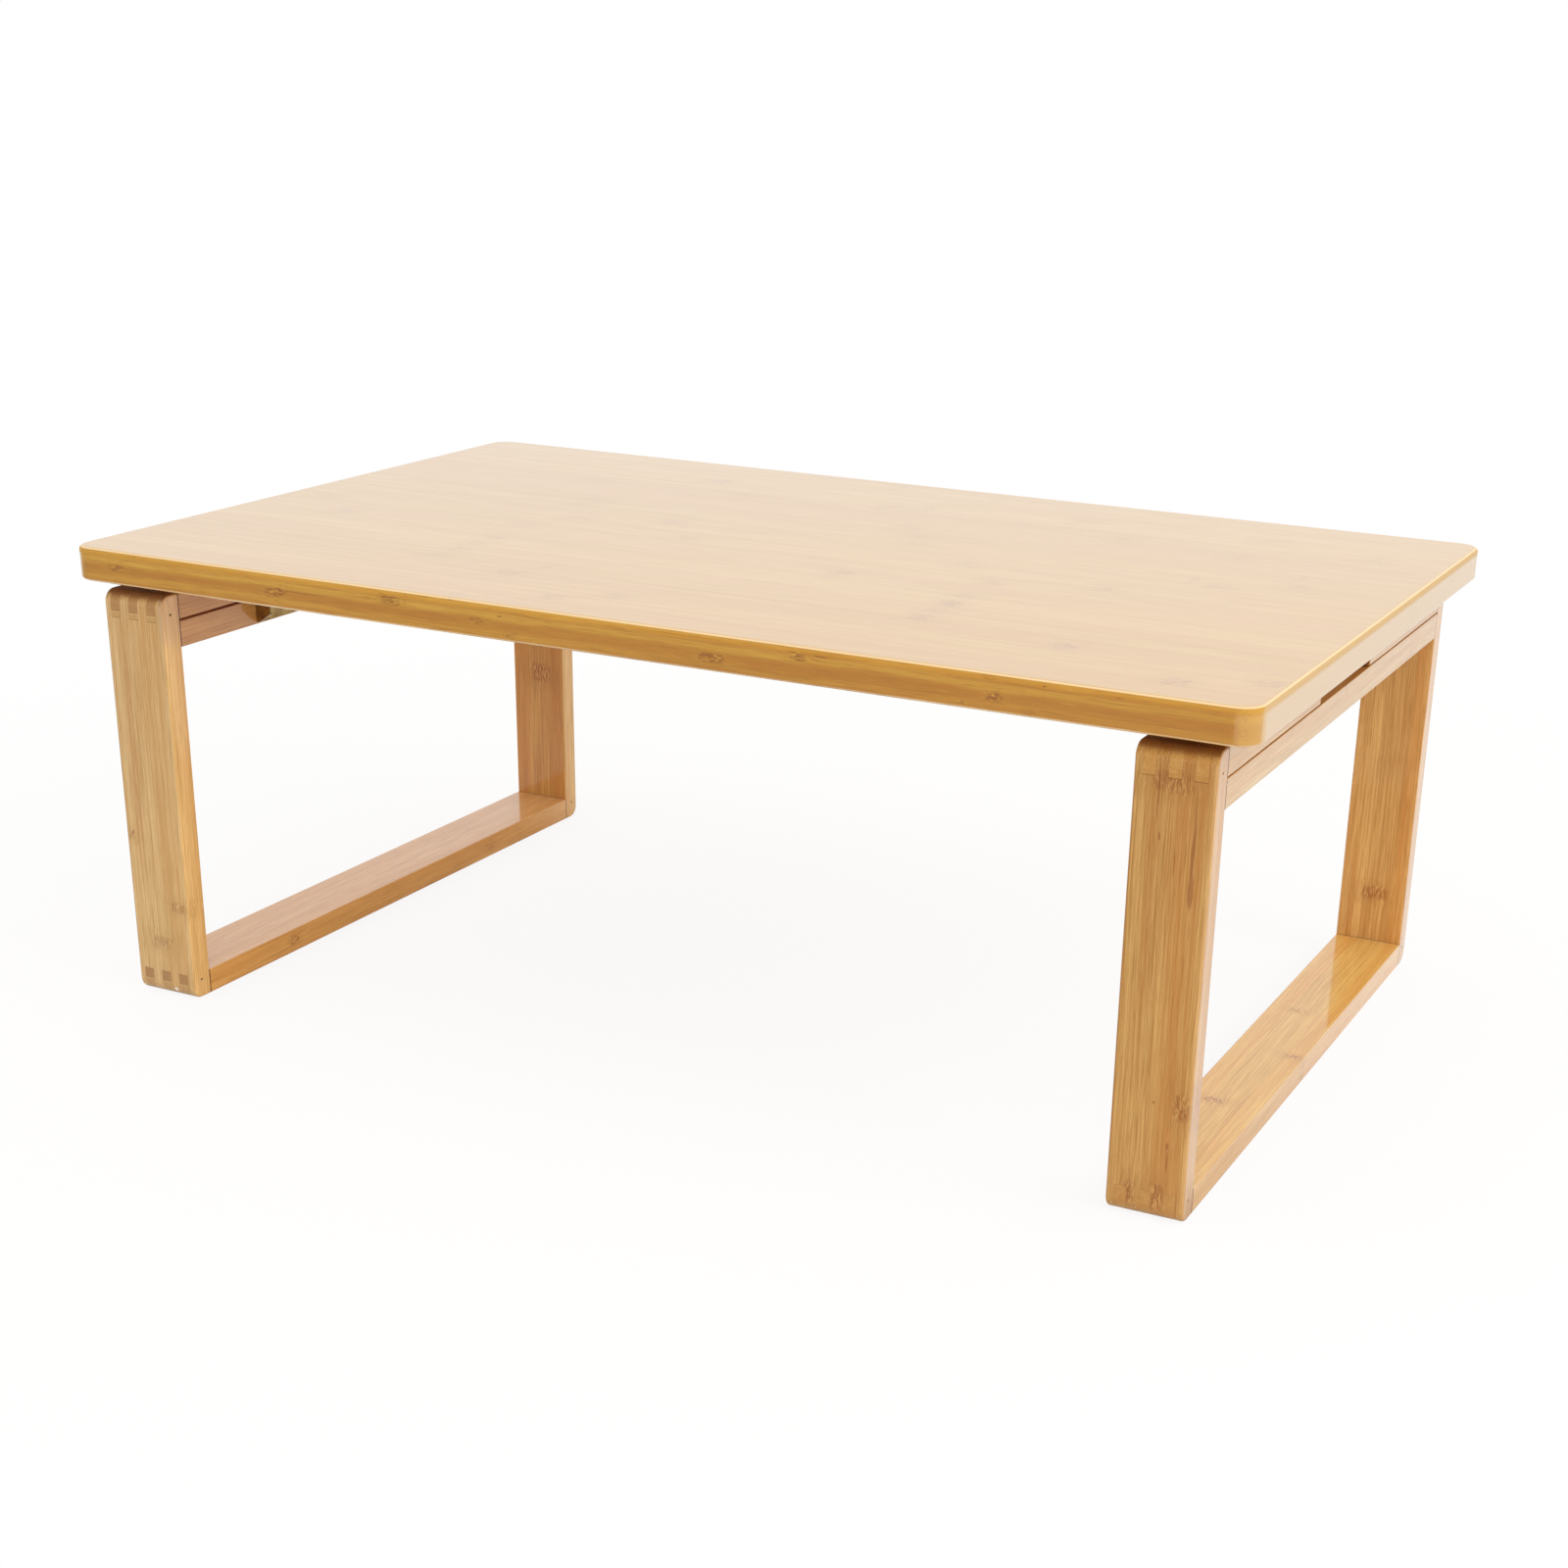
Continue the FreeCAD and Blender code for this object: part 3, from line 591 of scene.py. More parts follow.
@dataclass(frozen=True)
class Bamboo:
    """Pressed bamboo strips under clear lacquer, as one board has them.

    Each step of the finish takes the wood and its colour so far, and returns the new colour.
    """

    name: str
    grain: Grain
    seed: float
    character: Character
    strip_width: float = 21.0
    strip_start: float = 0.0
    bend: float = 2.0
    ply: float = 5.8
    ply_start: float = 0.0
    ply_stagger: float = 0.43
    knuckle_gap: float = 520.0
    knuckle_length: float = 4.0
    knuckle_strength: float = 0.7
    knuckle_arch: float = 9.0
    knuckle_jag: float = 9.0
    halo_size: float = 5.0
    halo_spread: float = 12.0
    tangle: float = 4.0
    spot_jag: float = 8.0
    spot_sway: float = 4.0
    stain_jag: float = 1.0
    shade_sway: float = 6.0
    shade_blur: float = 4.0
    ply_swell: float = 7.0
    ply_fray: float = 3.0
    end_strength: float = 0.85
    end_split: float = 0.0
    groove: Colour = GROOVE_LIT
    groove_inside: Colour = GROOVE_LIT
    groove_spread: float = 0.02
    edge_tones: Optional[Tones] = None
    roughness: float = 0.38
    uneven: float = 0.2
    bare_roughness: float = 0.5
    relief: float = 0.12
    relief_depth: float = 0.4
    specular: float = 0.2
    gloss_roughness: float = 0.07
    gloss_ior: float = 1.5

    def dress(self) -> Material:
        """Builds the material.

        Returns:
            The board's material.
        """
        material = bpy.data.materials.new(self.name)
        graph = Graph(material)
        wood = self.survey(graph)
        colour = self.ground(wood)
        if self.edge_tones:
            colour = self.plies(wood, colour)
        colour = self.streak(wood, colour)
        colour = self.blemish(wood, colour)
        seams = wood.edge.fall(*SEAM_LINE) * wood.coarse.rise(*SEAMED)
        colour = graph.mix(colour, wood.tones.fibre, seams * 0.45)
        if self.grain is Grain.ALONG_TOP:
            colour = self.panel_ends(wood, colour)
        else:
            colour = self.joinery(wood, colour)
        # Painted white glints on a board
        if self.character.painted_glints:
            spot = graph.vector(wood.along, wood.across, wood.deep)
            glint = 1 - graph.apart(spot, self.character.painted_glints)
            colour = graph.mix(colour, WHITE_GLINT, glint.rise(0.0, 0.25) * 0.95)
        gloss = self.gloss(wood)
        roughness = self.roughness + (wood.fine - 0.5) * self.uneven
        height = wood.fine + wood.dashes * 0.5
        graph.surface({
            "Base Color": colour,
            "Roughness": roughness + (1 - gloss) * self.bare_roughness,
            "Specular IOR Level": self.specular,
            "Coat Weight": gloss,
            "Coat Roughness": self.gloss_roughness,
            "Coat IOR": self.gloss_ior,
            "Normal": graph.bump(height, self.relief, self.relief_depth * MM),
        })
        return material

    def survey(self, graph: Graph) -> Wood:
        """Works out where the strips, knuckles and fibres of the board run.

        Args:
            graph: The material, still empty.

        Returns:
            The wood, with no colour on it yet.
        """
        place = graph.place()
        along, across, deep = places = tuple(place[axis.value] for axis in self.grain.value)
        wander = WANDER.lay(graph, places, self.seed)
        bent = across - self.strip_start + (wander - 0.5) * self.bend
        layer = ((deep - self.ply_start) / self.ply).floor()
        strips = bent / self.strip_width + layer * self.ply_stagger
        offset = strips.fraction() - 0.5
        chance = graph.dice(graph.vector(strips.floor() + 0.5, layer + 0.5, self.seed))
        jag = JAG.lay(graph, places, self.seed)

        turn = along / self.knuckle_gap + chance[0]
        reach = (turn.fraction() - 0.5) * self.knuckle_gap + (jag - 0.5) * self.knuckle_jag
        reach = reach + offset * offset * self.knuckle_arch
        band = reach.hill(0.0, self.knuckle_length) * self.knuckle_strength
        halo = reach.hill(0.0, self.knuckle_length * self.halo_size) * self.knuckle_strength
        if self.character.knuckles:
            spot = graph.vector(along + (jag - 0.5) * self.spot_jag,
                                across + (wander - 0.5) * self.spot_sway, deep)
            apart = graph.apart(spot, self.character.knuckles, blunt=True)
            band = band.at_least(1 - apart)
            halo = halo.at_least(1 - apart / self.halo_spread)

        tangle = TANGLE.lay(graph, places)
        strands = (along, bent + (tangle - 0.5) * halo * self.tangle, deep)
        tones, streaks, on_edge = self.character.tones, self.character.streaks, 0.0
        if self.edge_tones:
            on_edge = (deep - PANEL_MIDDLE).hill(*FACE_TO_EDGE)
            tones = Tones(*(graph.mix(flat, edged, on_edge) for flat, edged
                            in zip(astuple(tones), astuple(self.edge_tones))))
            streaks = streaks + on_edge * 0.4
        return Wood(
            graph, tones, streaks, on_edge, *place, *places,
            edge=(0.5 - abs(offset)) * self.strip_width,
            chance=chance, wander=wander, jag=jag, band=band, halo=halo,
            fine=FINE.lay(graph, strands), coarse=COARSE.lay(graph, strands),
            dashes=DASHES.lay(graph, strands), ticks=TICKS.lay(graph, strands),
            knots=KNOTS.lay(graph, strands))

    def ground(self, wood: Wood) -> Socket:
        """Gives each strip its own depth of colour, with a blush here and there.

        Args:
            wood: The board, still bare.

        Returns:
            The colour under all marks.
        """
        graph, tones = wood.graph, wood.tones
        swing = (wood.fine - 0.5) * 2.8 + (wood.coarse - 0.5) * 0.6
        swing = swing + (wood.chance[1] - 0.5) * 0.3
        tone = 0.45 + self.character.contrast * swing
        colour = graph.mix(tones.pale, tones.deep, tone.rise(0.0, 1.0))
        blush = wood.chance[2] * 0.4 + wood.coarse * 0.7 + wood.fine * 0.5
        return graph.mix(colour, tones.blush, blush.rise(*BLUSHING) * 0.6)

    def plies(self, wood: Wood, colour: Socket) -> Socket:
        """Tells the panel's plies apart on its edge, golden above and browner below, and paints a
        highlight along the lower arris.

        Args:
            wood: The panel so far.
            colour: Its colour so far.

        Returns:
            The colour with them.
        """
        graph, tones, deep, on_edge = wood.graph, wood.tones, wood.deep, wood.on_edge
        swell = SWELL.lay(graph, (wood.along, deep, self.seed + 5.0))
        level = deep + (swell - 0.5) * self.ply_swell + (wood.fine - 0.5) * self.ply_fray
        brown = level.fall(*BROWN_PLIES, UNDERSIDE) * on_edge
        colour = graph.mix(colour, tones.blush, brown * 0.45)
        pale = (level - PALE_PLY).hill(*PALE_LINE) * on_edge
        colour = graph.mix(colour, tones.pale, pale * 0.4)
        dark = (level - DARK_PLY).hill(*DARK_LINE) * on_edge
        colour = graph.mix(colour, tones.blush, dark * 0.45)
        colour = graph.mix(colour, tones.pale, deep.rise(*TOP_PLY, UNDERSIDE) * on_edge * 0.4)
        right = wood.along.rise(-TOP_HALF_LENGTH, TOP_HALF_LENGTH) * on_edge
        brown = 0.3 + level.fall(*BROWN_RIGHT_PLIES, UNDERSIDE) * 0.25
        colour = graph.mix(colour, tones.blush, right * brown)
        # Painted highlight along the lower arris
        arris = (deep - LOWER_ARRIS_HIGHLIGHT).hill(*ARRIS_LINE) * on_edge
        return graph.mix(colour, ARRIS_HIGHLIGHT, arris * 0.6)

    def streak(self, wood: Wood, colour: Socket) -> Socket:
        """Draws the dark and pale fibres, and the knuckles that they gather at.

        Args:
            wood: The board so far.
            colour: Its colour so far.

        Returns:
            The colour with them.
        """
        graph, tones, streaks = wood.graph, wood.tones, wood.streaks
        dark = (wood.dashes + wood.halo * 0.06).rise(*DARK_DASHES)
        colour = graph.mix(colour, tones.fibre, dark * streaks)
        colour = graph.mix(colour, tones.fibre, wood.ticks.rise(*DARK_TICKS) * streaks * 0.7)
        colour = graph.mix(colour, tones.pale, wood.ticks.hill(*PALE_TICKS) * streaks)
        colour = graph.mix(colour, tones.deep, wood.halo * 0.25)
        scorched = wood.band * wood.knots.rise(*CHARRED_KNOTS)
        colour = graph.mix(colour, tones.knuckle, scorched * 0.85)
        return graph.mix(colour, tones.pale, wood.band * wood.knots.fall(*PALE_KNOTS) * 0.8)

    def blemish(self, wood: Wood, colour: Socket) -> Socket:
        """Lays on the board's stains and its soft lighter and darker patches; a few of them are
        painted shade.

        Args:
            wood: The board so far.
            colour: Its colour so far.

        Returns:
            The colour with them.
        """
        graph, across = wood.graph, wood.across
        if self.character.stains:
            spot = graph.vector(wood.along, across + (wood.jag - 0.5) * self.stain_jag, wood.deep)
            stain = 1 - graph.apart(spot, self.character.stains)
            stain = stain * (0.7 + wood.dashes.rise(*BLOTCHED) * 0.6)
            colour = graph.mix(colour, wood.tones.knuckle, stain.rise(0.0, 0.7) * 0.6)
        for mark, shade in self.character.patches_and_shading:
            swayed = across + (wood.wander - 0.5) * self.shade_sway
            blurred = swayed + (wood.fine - 0.5) * self.shade_blur
            spot = graph.vector(wood.along, blurred, wood.deep)
            near = (1 - graph.apart(spot, (mark,))).rise(0.0, 0.9)
            colour = graph.arrange("MULTIPLY", colour, graph.mix(WHITE, shade, near))
        return colour

    def panel_ends(self, wood: Wood, colour: Socket) -> Socket:
        """Adds the end grain at the panel's two ends, painted light on its end faces, and a
        painted highlight along its upper arris.

        Args:
            wood: The panel so far.
            colour: Its colour so far.

        Returns:
            The colour with them.
        """
        graph, tones, z = wood.graph, wood.tones, wood.z
        reach = abs(wood.x) - TOP_HALF_LENGTH
        below = z.fall(*BELOW_FACE, TABLE_HEIGHT)
        colour = graph.mix(colour, tones.end, reach.rise(*PANEL_END) * below * 0.55)
        pores = (reach + END_PORES).hill(*PORE_LINE) * wood.knots.rise(*OPEN_PORES)
        colour = graph.mix(colour, tones.fibre, pores * below * 0.35)
        # Painted light on the end faces, palest at their outline
        rim = reach.rise(*END_LIT_RIM) * abs(wood.y).fall(*LIT_RIM_CORNER, TOP_HALF_DEPTH)
        pale = reach.rise(*END_LIT_OUTLINE).at_least(rim) * below
        colour = graph.mix(colour, END_FACE_LIGHT, pale * 0.8)
        # Painted highlight along the upper arris
        arris = z.rise(*HIGHLIGHT_FOOT, TABLE_HEIGHT) * z.fall(*HIGHLIGHT_HEAD, TABLE_HEIGHT)
        return graph.mix(colour, ARRIS_HIGHLIGHT, arris * 0.75)

    def joinery(self, wood: Wood, colour: Socket) -> Socket:
        """Adds what a hoop's joints show: colour factors with painted light and shade, glue lines,
        end grain, dark joint lines and painted shade on the upper roundings.

        Args:
            wood: The board so far.
            colour: Its colour so far.

        Returns:
            The colour with them.
        """
        graph, face = wood.graph, self.broad_face(wood)
        out = abs(wood.y) - HOOP_HALF_DEPTH
        # Painted shade on the upper roundings, under the panel
        crown = (wood.z + out * 0.2).rise(*CROWN_SHADE, HOOP_HEIGHT)
        crown = crown * out.rise(*CROWN_SHADE_REACH) * face
        # Colour factors that paint light and shade on the broad faces and the narrow sides
        tone_and_lighting = graph.mix(self.character.side_lighting, self.character.tone_and_lighting, face)
        if self.grain is Grain.ALONG_RAIL:
            colour = self.rail_joints(wood, colour, tone_and_lighting)
            joined = 1.0
        else:
            light = graph.mix(FOOT_LIGHT, HEAD_SHADE, wood.z.rise(*FOOT_TO_HEAD))
            tone_and_lighting = graph.arrange("MULTIPLY", tone_and_lighting, graph.mix(WHITE, light, face))
            colour = graph.arrange("MULTIPLY", colour, tone_and_lighting)
            foot = wood.z.fall(0.0, 0.2, RAIL_THICKNESS)
            colour = self.finger_lines(wood, colour, foot)
            head = wood.z.rise(-0.1, 0.1, SUB_RAIL_UNDERSIDE)
            joined = head.at_least(foot) * (1 - face)
        shoulder = (out + UPRIGHT_THICKNESS).hill(*ARRIS_LINE) * joined
        shoulder = shoulder * (0.55 + wood.knots.rise(*BLOTCHED) * 0.4)
        colour = graph.mix(colour, SEAM_AND_SHADE_BROWN, shoulder)
        return graph.mix(colour, SEAM_AND_SHADE_BROWN, crown * 0.8)

    def broad_face(self, wood: Wood) -> Signal:
        """Is 1 between the arrises of a hoop's board and 0 on its outer and inner sides."""
        return (abs(wood.x) - HOOP_CENTRE).hill(*BROAD_FACE)

    def rail_joints(self, wood: Wood, colour: Socket, tone_and_lighting: Socket) -> Socket:
        """Adds a rail's colour factor with its painted light and shade, its end grain, painted
        light and shade at the groove between two rails, and painted shade in the grip notch.

        Args:
            wood: The rail so far.
            colour: Its colour so far.
            tone_and_lighting: What its colour is multiplied by.

        Returns:
            The colour with them.
        """
        graph, tones, z, face = wood.graph, wood.tones, wood.z, self.broad_face(wood)
        end = (abs(wood.y) - HOOP_HALF_DEPTH).rise(*END_GRAIN)
        # The rail's colour factor, painted light and shade included, stays off its end grain
        colour = graph.arrange("MULTIPLY", colour, graph.mix(tone_and_lighting, WHITE, end * face))

        end_tone = graph.mix(tones.deep, tones.end, z.rise(-0.3, 0.3, self.end_split))
        end_tone = graph.mix(end_tone, tones.knuckle, wood.dashes.rise(*END_DASHES) * 0.3)
        glue = (z - self.end_split).hill(*GLUE_LINE)
        end_tone = graph.mix(end_tone, tones.pale, glue * 0.5)
        colour = graph.mix(colour, end_tone, end * self.end_strength)

        # Painted light inside the groove between two rails, and on the left hoop painted shade on
        # its lips
        spread = RAIL_GAP / 2 + self.groove_spread
        groove = (z - SUB_RAIL_TOP - RAIL_GAP / 2).hill(spread, spread + 0.12)
        groove_tone = graph.mix(self.groove, self.groove_inside, face)
        colour = graph.mix(colour, groove_tone, groove * (1 - end) * 0.9)
        # Painted shade in the grip notch
        grip = z.rise(0.2, 0.6, SUB_RAIL_TOP) * face * abs(wood.y).fall(*GRIP_SHADE_END)
        return graph.mix(colour, SEAM_AND_SHADE_BROWN, grip * 0.5)

    def finger_lines(self, wood: Wood, colour: Socket, foot: Signal) -> Socket:
        """Draws the glue lines between the fingers of an upright's two box joints.

        Args:
            wood: The upright so far.
            colour: Its colour so far.
            foot: 1 where the lower joint is and 0 above it.

        Returns:
            The colour with them.
        """
        fingers = (abs(wood.x) - HOOP_CENTRE) / FINGER_WIDTH + 0.5
        seam = (0.5 - abs(fingers.fraction() - 0.5)) * FINGER_WIDTH
        head = wood.z.rise(-0.2, 0.0, HOOP_HEIGHT - RAIL_THICKNESS)
        inner = (fingers - 0.5).hill(*INNER_FINGERS)
        lines = seam.fall(*FINGER_LINE) * foot.at_least(head) * inner
        return wood.graph.mix(colour, wood.tones.knuckle, lines * 0.4)

    def gloss(self, wood: Wood) -> Signal:
        """Tells how thick the lacquer is.

        Args:
            wood: The board so far.

        Returns:
            1 on the faces, less on roundings that it has run off.
        """
        z = wood.z
        if self.grain is Grain.ALONG_TOP:
            bare = z.rise(*DULL_ROUNDING, UNDERSIDE) * z.fall(*DULL_ROUNDING_TOP, TABLE_HEIGHT)
            return 1 - bare * 0.85
        crown = z.rise(*BARE_CROWN, HOOP_HEIGHT) * self.broad_face(wood)
        out = abs(wood.y) - HOOP_HALF_DEPTH
        return 1 - crown * out.rise(*BARE_CROWN_REACH) * 0.95


@dataclass(frozen=True)
class Steel:
    """Bare or plated steel with fine scratches and small dull patches."""

    name: str
    colour: Colour
    dull: Colour
    roughness: float
    uneven: float = 0.2
    scratch: float = 0.1
    relief_depth: float = 0.2
    patched: Band = (0.35, 0.7)
    speckled: Band = (0.62, 0.72)

    def dress(self) -> Material:
        """Builds the material.

        Returns:
            The metal's material.
        """
        material = bpy.data.materials.new(self.name)
        graph = Graph(material)
        place = graph.place()
        patches = PATCHES.lay(graph, place)
        scratches = SCRATCHES.lay(graph, place)
        speckles = SPECKLES.lay(graph, place)
        colour = graph.mix(self.colour, self.dull, patches.rise(*self.patched) * 0.6)
        colour = graph.mix(colour, self.dull, speckles.rise(*self.speckled) * 0.5)
        roughness = self.roughness + (patches - 0.5) * self.uneven
        graph.surface({
            "Base Color": colour,
            "Metallic": 1.0,
            "Roughness": roughness + (scratches - 0.5) * self.scratch,
            "Normal": graph.bump(scratches, self.scratch, self.relief_depth * MM),
        })
        return material


@dataclass(frozen=True)
class Dowel:
    """Unlacquered turned wood with short end pores."""

    name: str
    pale: Colour
    deep: Colour
    roughness: float = 0.6
    uneven: float = 0.2
    darkened: Band = (0.3, 0.7)

    def dress(self) -> Material:
        """Builds the material.

        Returns:
            The dowels' material.
        """
        material = bpy.data.materials.new(self.name)
        graph = Graph(material)
        pores = PORES.lay(graph, graph.place())
        colour = graph.mix(self.pale, self.deep, pores.rise(*self.darkened))
        roughness = self.roughness + (pores - 0.5) * self.uneven
        graph.surface({"Base Color": colour, "Roughness": roughness})
        return material


NAIL_STEEL = Steel("nail_steel", srgb(84, 62, 48), srgb(42, 28, 22), 0.55)
PLATED_STEEL = Steel("plated_steel", srgb(168, 140, 88), srgb(118, 86, 52), 0.32)
SPRING_STEEL = Steel("spring_steel", srgb(138, 140, 144), srgb(96, 96, 98), 0.28)
PIN_STEEL = Steel("pin_steel", srgb(196, 194, 190), srgb(150, 147, 140), 0.25)
SCREW_STEEL = Steel("screw_steel", srgb(190, 184, 170), srgb(132, 124, 108), 0.3)
DOWEL_WOOD = Dowel("dowel_wood", srgb(226, 196, 150), srgb(196, 156, 104))

# Knuckles of the panel's upper face, where the photograph shows them: x, y, strength
TOP_KNUCKLES = (
    (-236, 136, 0.3), (-158, 180, 0.6), (-110, 136, 0.2), (1, 158, 0.35), (-198, 48, 0.4),
    (-198, 70, 0.3), (-108, 26, 0.45), (-171, 4, 0.3), (-188, -40, 0.35), (-72, -18, 0.45),
    (60, 70, 0.4), (68, 48, 0.3), (41, 92, 0.2), (-113, -172, 0.6), (-53, -216, 0.45),
    (-22, -194, 0.35), (65, -62, 0.5), (162, -150, 0.7), (161, -128, 0.5), (161, -106, 0.65),
    (161, -84, 0.4), (160, -40, 0.45), (226, -18, 0.4), (285, 26, 0.35), (260, -172, 0.75),
    (343, -216, 0.75), (388, -194, 0.6), (332, 48, 0.35), (349, 158, 0.3), (269, 180, 0.15),
    (137, 180, 0.3), (182, 136, 0.3), (267, 114, 0.2), (127, -3, 0.35), (-322, -62, 0.45),
    (-366, -18, 0.25), (-181, -150, 0.4), (-181, -128, 0.4), (-181, -106, 0.35),
    (-181, -84, 0.3),
)
# Knuckles of the panel's front edge: x, height, half length, half thickness, strength
FRONT_KNUCKLES = (
    (-362.2, 294.8, 7, 3.0, 0.8), (-234.7, 294.3, 9, 3.4, 1.0), (-147.4, 299.4, 8, 3.2, 1.0),
    (-84.7, 294.3, 7, 2.6, 0.8), (-61.0, 288.0, 4, 1.6, 0.7), (-103.0, 305.2, 4, 0.8, 0.8),
    (76.0, 292.2, 9, 3.2, 1.0), (131.6, 299.9, 6, 3.0, 1.0), (250.5, 293.2, 6, 3.0, 1.0),
    (230.6, 287.6, 3, 1.0, 0.9), (248.0, 303.0, 4, 0.8, 0.6), (282.0, 302.6, 1.5, 0.7, 1.0),
)
# Stains of the panel's front edge, in the same columns
FRONT_STAINS = (
    (145.4, 301.6, 5, 0.6, 1.0), (-68.4, 298.9, 2, 0.7, 1.0), (-76.5, 302.4, 6, 0.5, 0.5),
    (-215, 296.0, 42, 1.0, 0.6), (323.0, 302.1, 5, 0.6, 0.7),
)


def on_top(spots: tuple[Spot, ...]) -> tuple[Mark, ...]:
    """Gives spots of the panel's upper face as marks."""
    return tuple(Mark(x, y, 10.0, 10.5, strength, TABLE_HEIGHT, 3.0) for x, y, strength in spots)


def on_front(spots: tuple[Spot, ...]) -> tuple[Mark, ...]:
    """Gives spots of the panel's front edge as marks."""
    return tuple(Mark(x, -TOP_HALF_DEPTH, length, 9.0, strength, z, height)
                 for x, z, length, height, strength in spots)


TOP_FINISH = Bamboo(
    name="bamboo_tabletop",
    grain=Grain.ALONG_TOP,
    seed=3.17,
    character=Character(
        tones=BUTTER, contrast=0.7, streaks=0.2,
        knuckles=on_top(TOP_KNUCKLES) + on_front(FRONT_KNUCKLES),
        stains=on_front(FRONT_STAINS),
    ),
    strip_width=22.0,
    strip_start=-7.0,
    bend=5.0,
    ply=5.5,
    ply_start=UNDERSIDE,
    knuckle_gap=1600.0,
    knuckle_length=6.0,
    knuckle_strength=0.35,
    edge_tones=GOLDEN,
    specular=0.5,
)

# Each board's colours and marks, where the photograph shows them; their colour factors also paint
# light and shade on the faces, and a few marks are painted shade
BOARDS = {
    "left_front_upright": Character(
        tones=HONEY, contrast=1.3, side_lighting=(1.34, 1.24, 1.01),
        knuckles=(
            Mark(65.8, -339.6, 5, 8, 0.6), Mark(38.0, -356.0, 6, 13, 0.5),
            Mark(113, -374.5, 5, 4, 0.7),
        ),
        painted_glints=(Mark(5.4, -348.3, 1.5, 1.5), Mark(270.1, -369.5, 0.7, 0.7)),
        patches_and_shading=(
            (Mark(165, -366.5, 120, 5.5), (0.99, 0.945, 0.955)),
            (Mark(80, -336.0, 85, 5.0), (1.06, 1.045, 1.03)),
            (Mark(128, -349.0, 62, 1.8), (0.95, 0.90, 0.87)),
            (Mark(142, -368.6, 72, 2.4), (0.96, 0.91, 0.89)),
            (Mark(50, -352.0, 26, 9.0), (0.99, 1.025, 1.02)),
            # Painted shade at the top of the inner side, under the panel
            (Mark(272, -332.0, 34, 2.6), (0.84, 0.82, 0.98)),
        ),
    ),
    "left_rear_upright": Character(
        tone_and_lighting=(1.08, 0.98, 0.78), side_lighting=(1.54, 1.78, 2.04),
        knuckles=(Mark(123.5, -353.5, 9, 11, 0.9),),
    ),
    "left_bottom_rail": Character(
        tones=HONEY, tone_and_lighting=(1.3, 1.12, 0.98), side_lighting=(1.25, 1.0, 0.58),
        knuckles=(
            Mark(-134.7, -332, 5, 9, 0.9, 9.5, 4.0), Mark(114, -332, 5, 9, 0.7, 9.0, 3.0),
        ),
    ),
    "left_top_rail": Character(tones=HONEY, side_lighting=(0.86, 0.59, 0.32)),
    "left_sub_rail": Character(tones=HONEY, side_lighting=(0.94, 0.69, 0.46)),
    "right_front_upright": Character(
        tone_and_lighting=(1.0, 1.02, 1.07), side_lighting=(1.11, 1.15, 1.48),
        knuckles=(
            Mark(259.5, 355, 8, 15, 0.65), Mark(72.5, 373.8, 10, 6, 0.8),
            Mark(15.0, 362.5, 10, 5, 0.75), Mark(14.5, 346.5, 9, 4.5, 0.75),
        ),
        stains=(
            Mark(200, 368.8, 13, 2.2), Mark(214, 368.4, 20, 1.2, 0.9),
            Mark(232, 369.0, 34, 1.0, 0.9), Mark(234, 371.5, 16, 0.8, 0.5),
            Mark(47.6, 366.9, 3.2, 1.2), Mark(38, 367.2, 11, 0.7, 0.9),
            Mark(72.8, 357.0, 1.2, 1.0), Mark(228.4, 349.0, 3.4, 1.0, 0.9),
            Mark(252, 347, 20, 0.7), Mark(214, 358.5, 14, 0.6, 0.7),
            # The large weak stain at the top is painted shade under the panel
            Mark(266, 355.65, 36, 44, 0.26),
        ),
    ),
    "right_rear_upright": Character(
        tone_and_lighting=(1.31, 1.36, 1.5), side_lighting=(1.28, 1.4, 2.25),
        knuckles=(Mark(53.5, 356.5, 6, 11.5, 0.9),),
    ),
    "right_bottom_rail": Character(
        contrast=0.7, streaks=0.3, tone_and_lighting=(1.6, 1.84, 1.86), side_lighting=(1.38, 1.52, 1.78),
        knuckles=(
            Mark(66.7, 352.6, 4, 8, 0.7), Mark(-12.8, 372.6, 4.5, 7.5, 0.8),
            Mark(-103.6, 351, 5, 10.5, 0.8),
        ),
    ),
    "right_top_rail": Character(contrast=0.7, streaks=0.3, side_lighting=(1.18, 1.32, 1.5)),
    "right_sub_rail": Character(
        contrast=0.7, streaks=0.3, tone_and_lighting=(1.2, 1.2, 1.1), side_lighting=(1.12, 1.28, 1.65),
        stains=(Mark(62, 379, 27, 9, 0.8, 257.7, 0.4), Mark(48, 379, 14, 9, 0.5, 256.4, 0.3)),
    ),
}


def set_up(name: str, data: bpy.types.ID) -> bpy.types.Object:
    """Puts a new object into the scene, and says so.

    Args:
        name: The object's name.
        data: Its mesh, light or camera.

    Returns:
        The object.
    """
    item = bpy.data.objects.new(name, data)
    bpy.context.scene.collection.objects.link(item)
    logging.info("set up %s", name)
    return item


def put_on(node: str, material: Material) -> None:
    """Gives a solid of the frame its finish, and says so.

    Args:
        node: The solid's name.
        material: Its finish.
    """
    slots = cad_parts[node].data.materials
    slots.clear()
    slots.append(material)
    logging.info("dressed %s with %s", node, material.name)


@dataclass
class Tabletop:
    """The panel."""

    finish: Bamboo

    def dress(self) -> None:
        """Lays the finish on the panel."""
        put_on("tabletop", self.finish.dress())


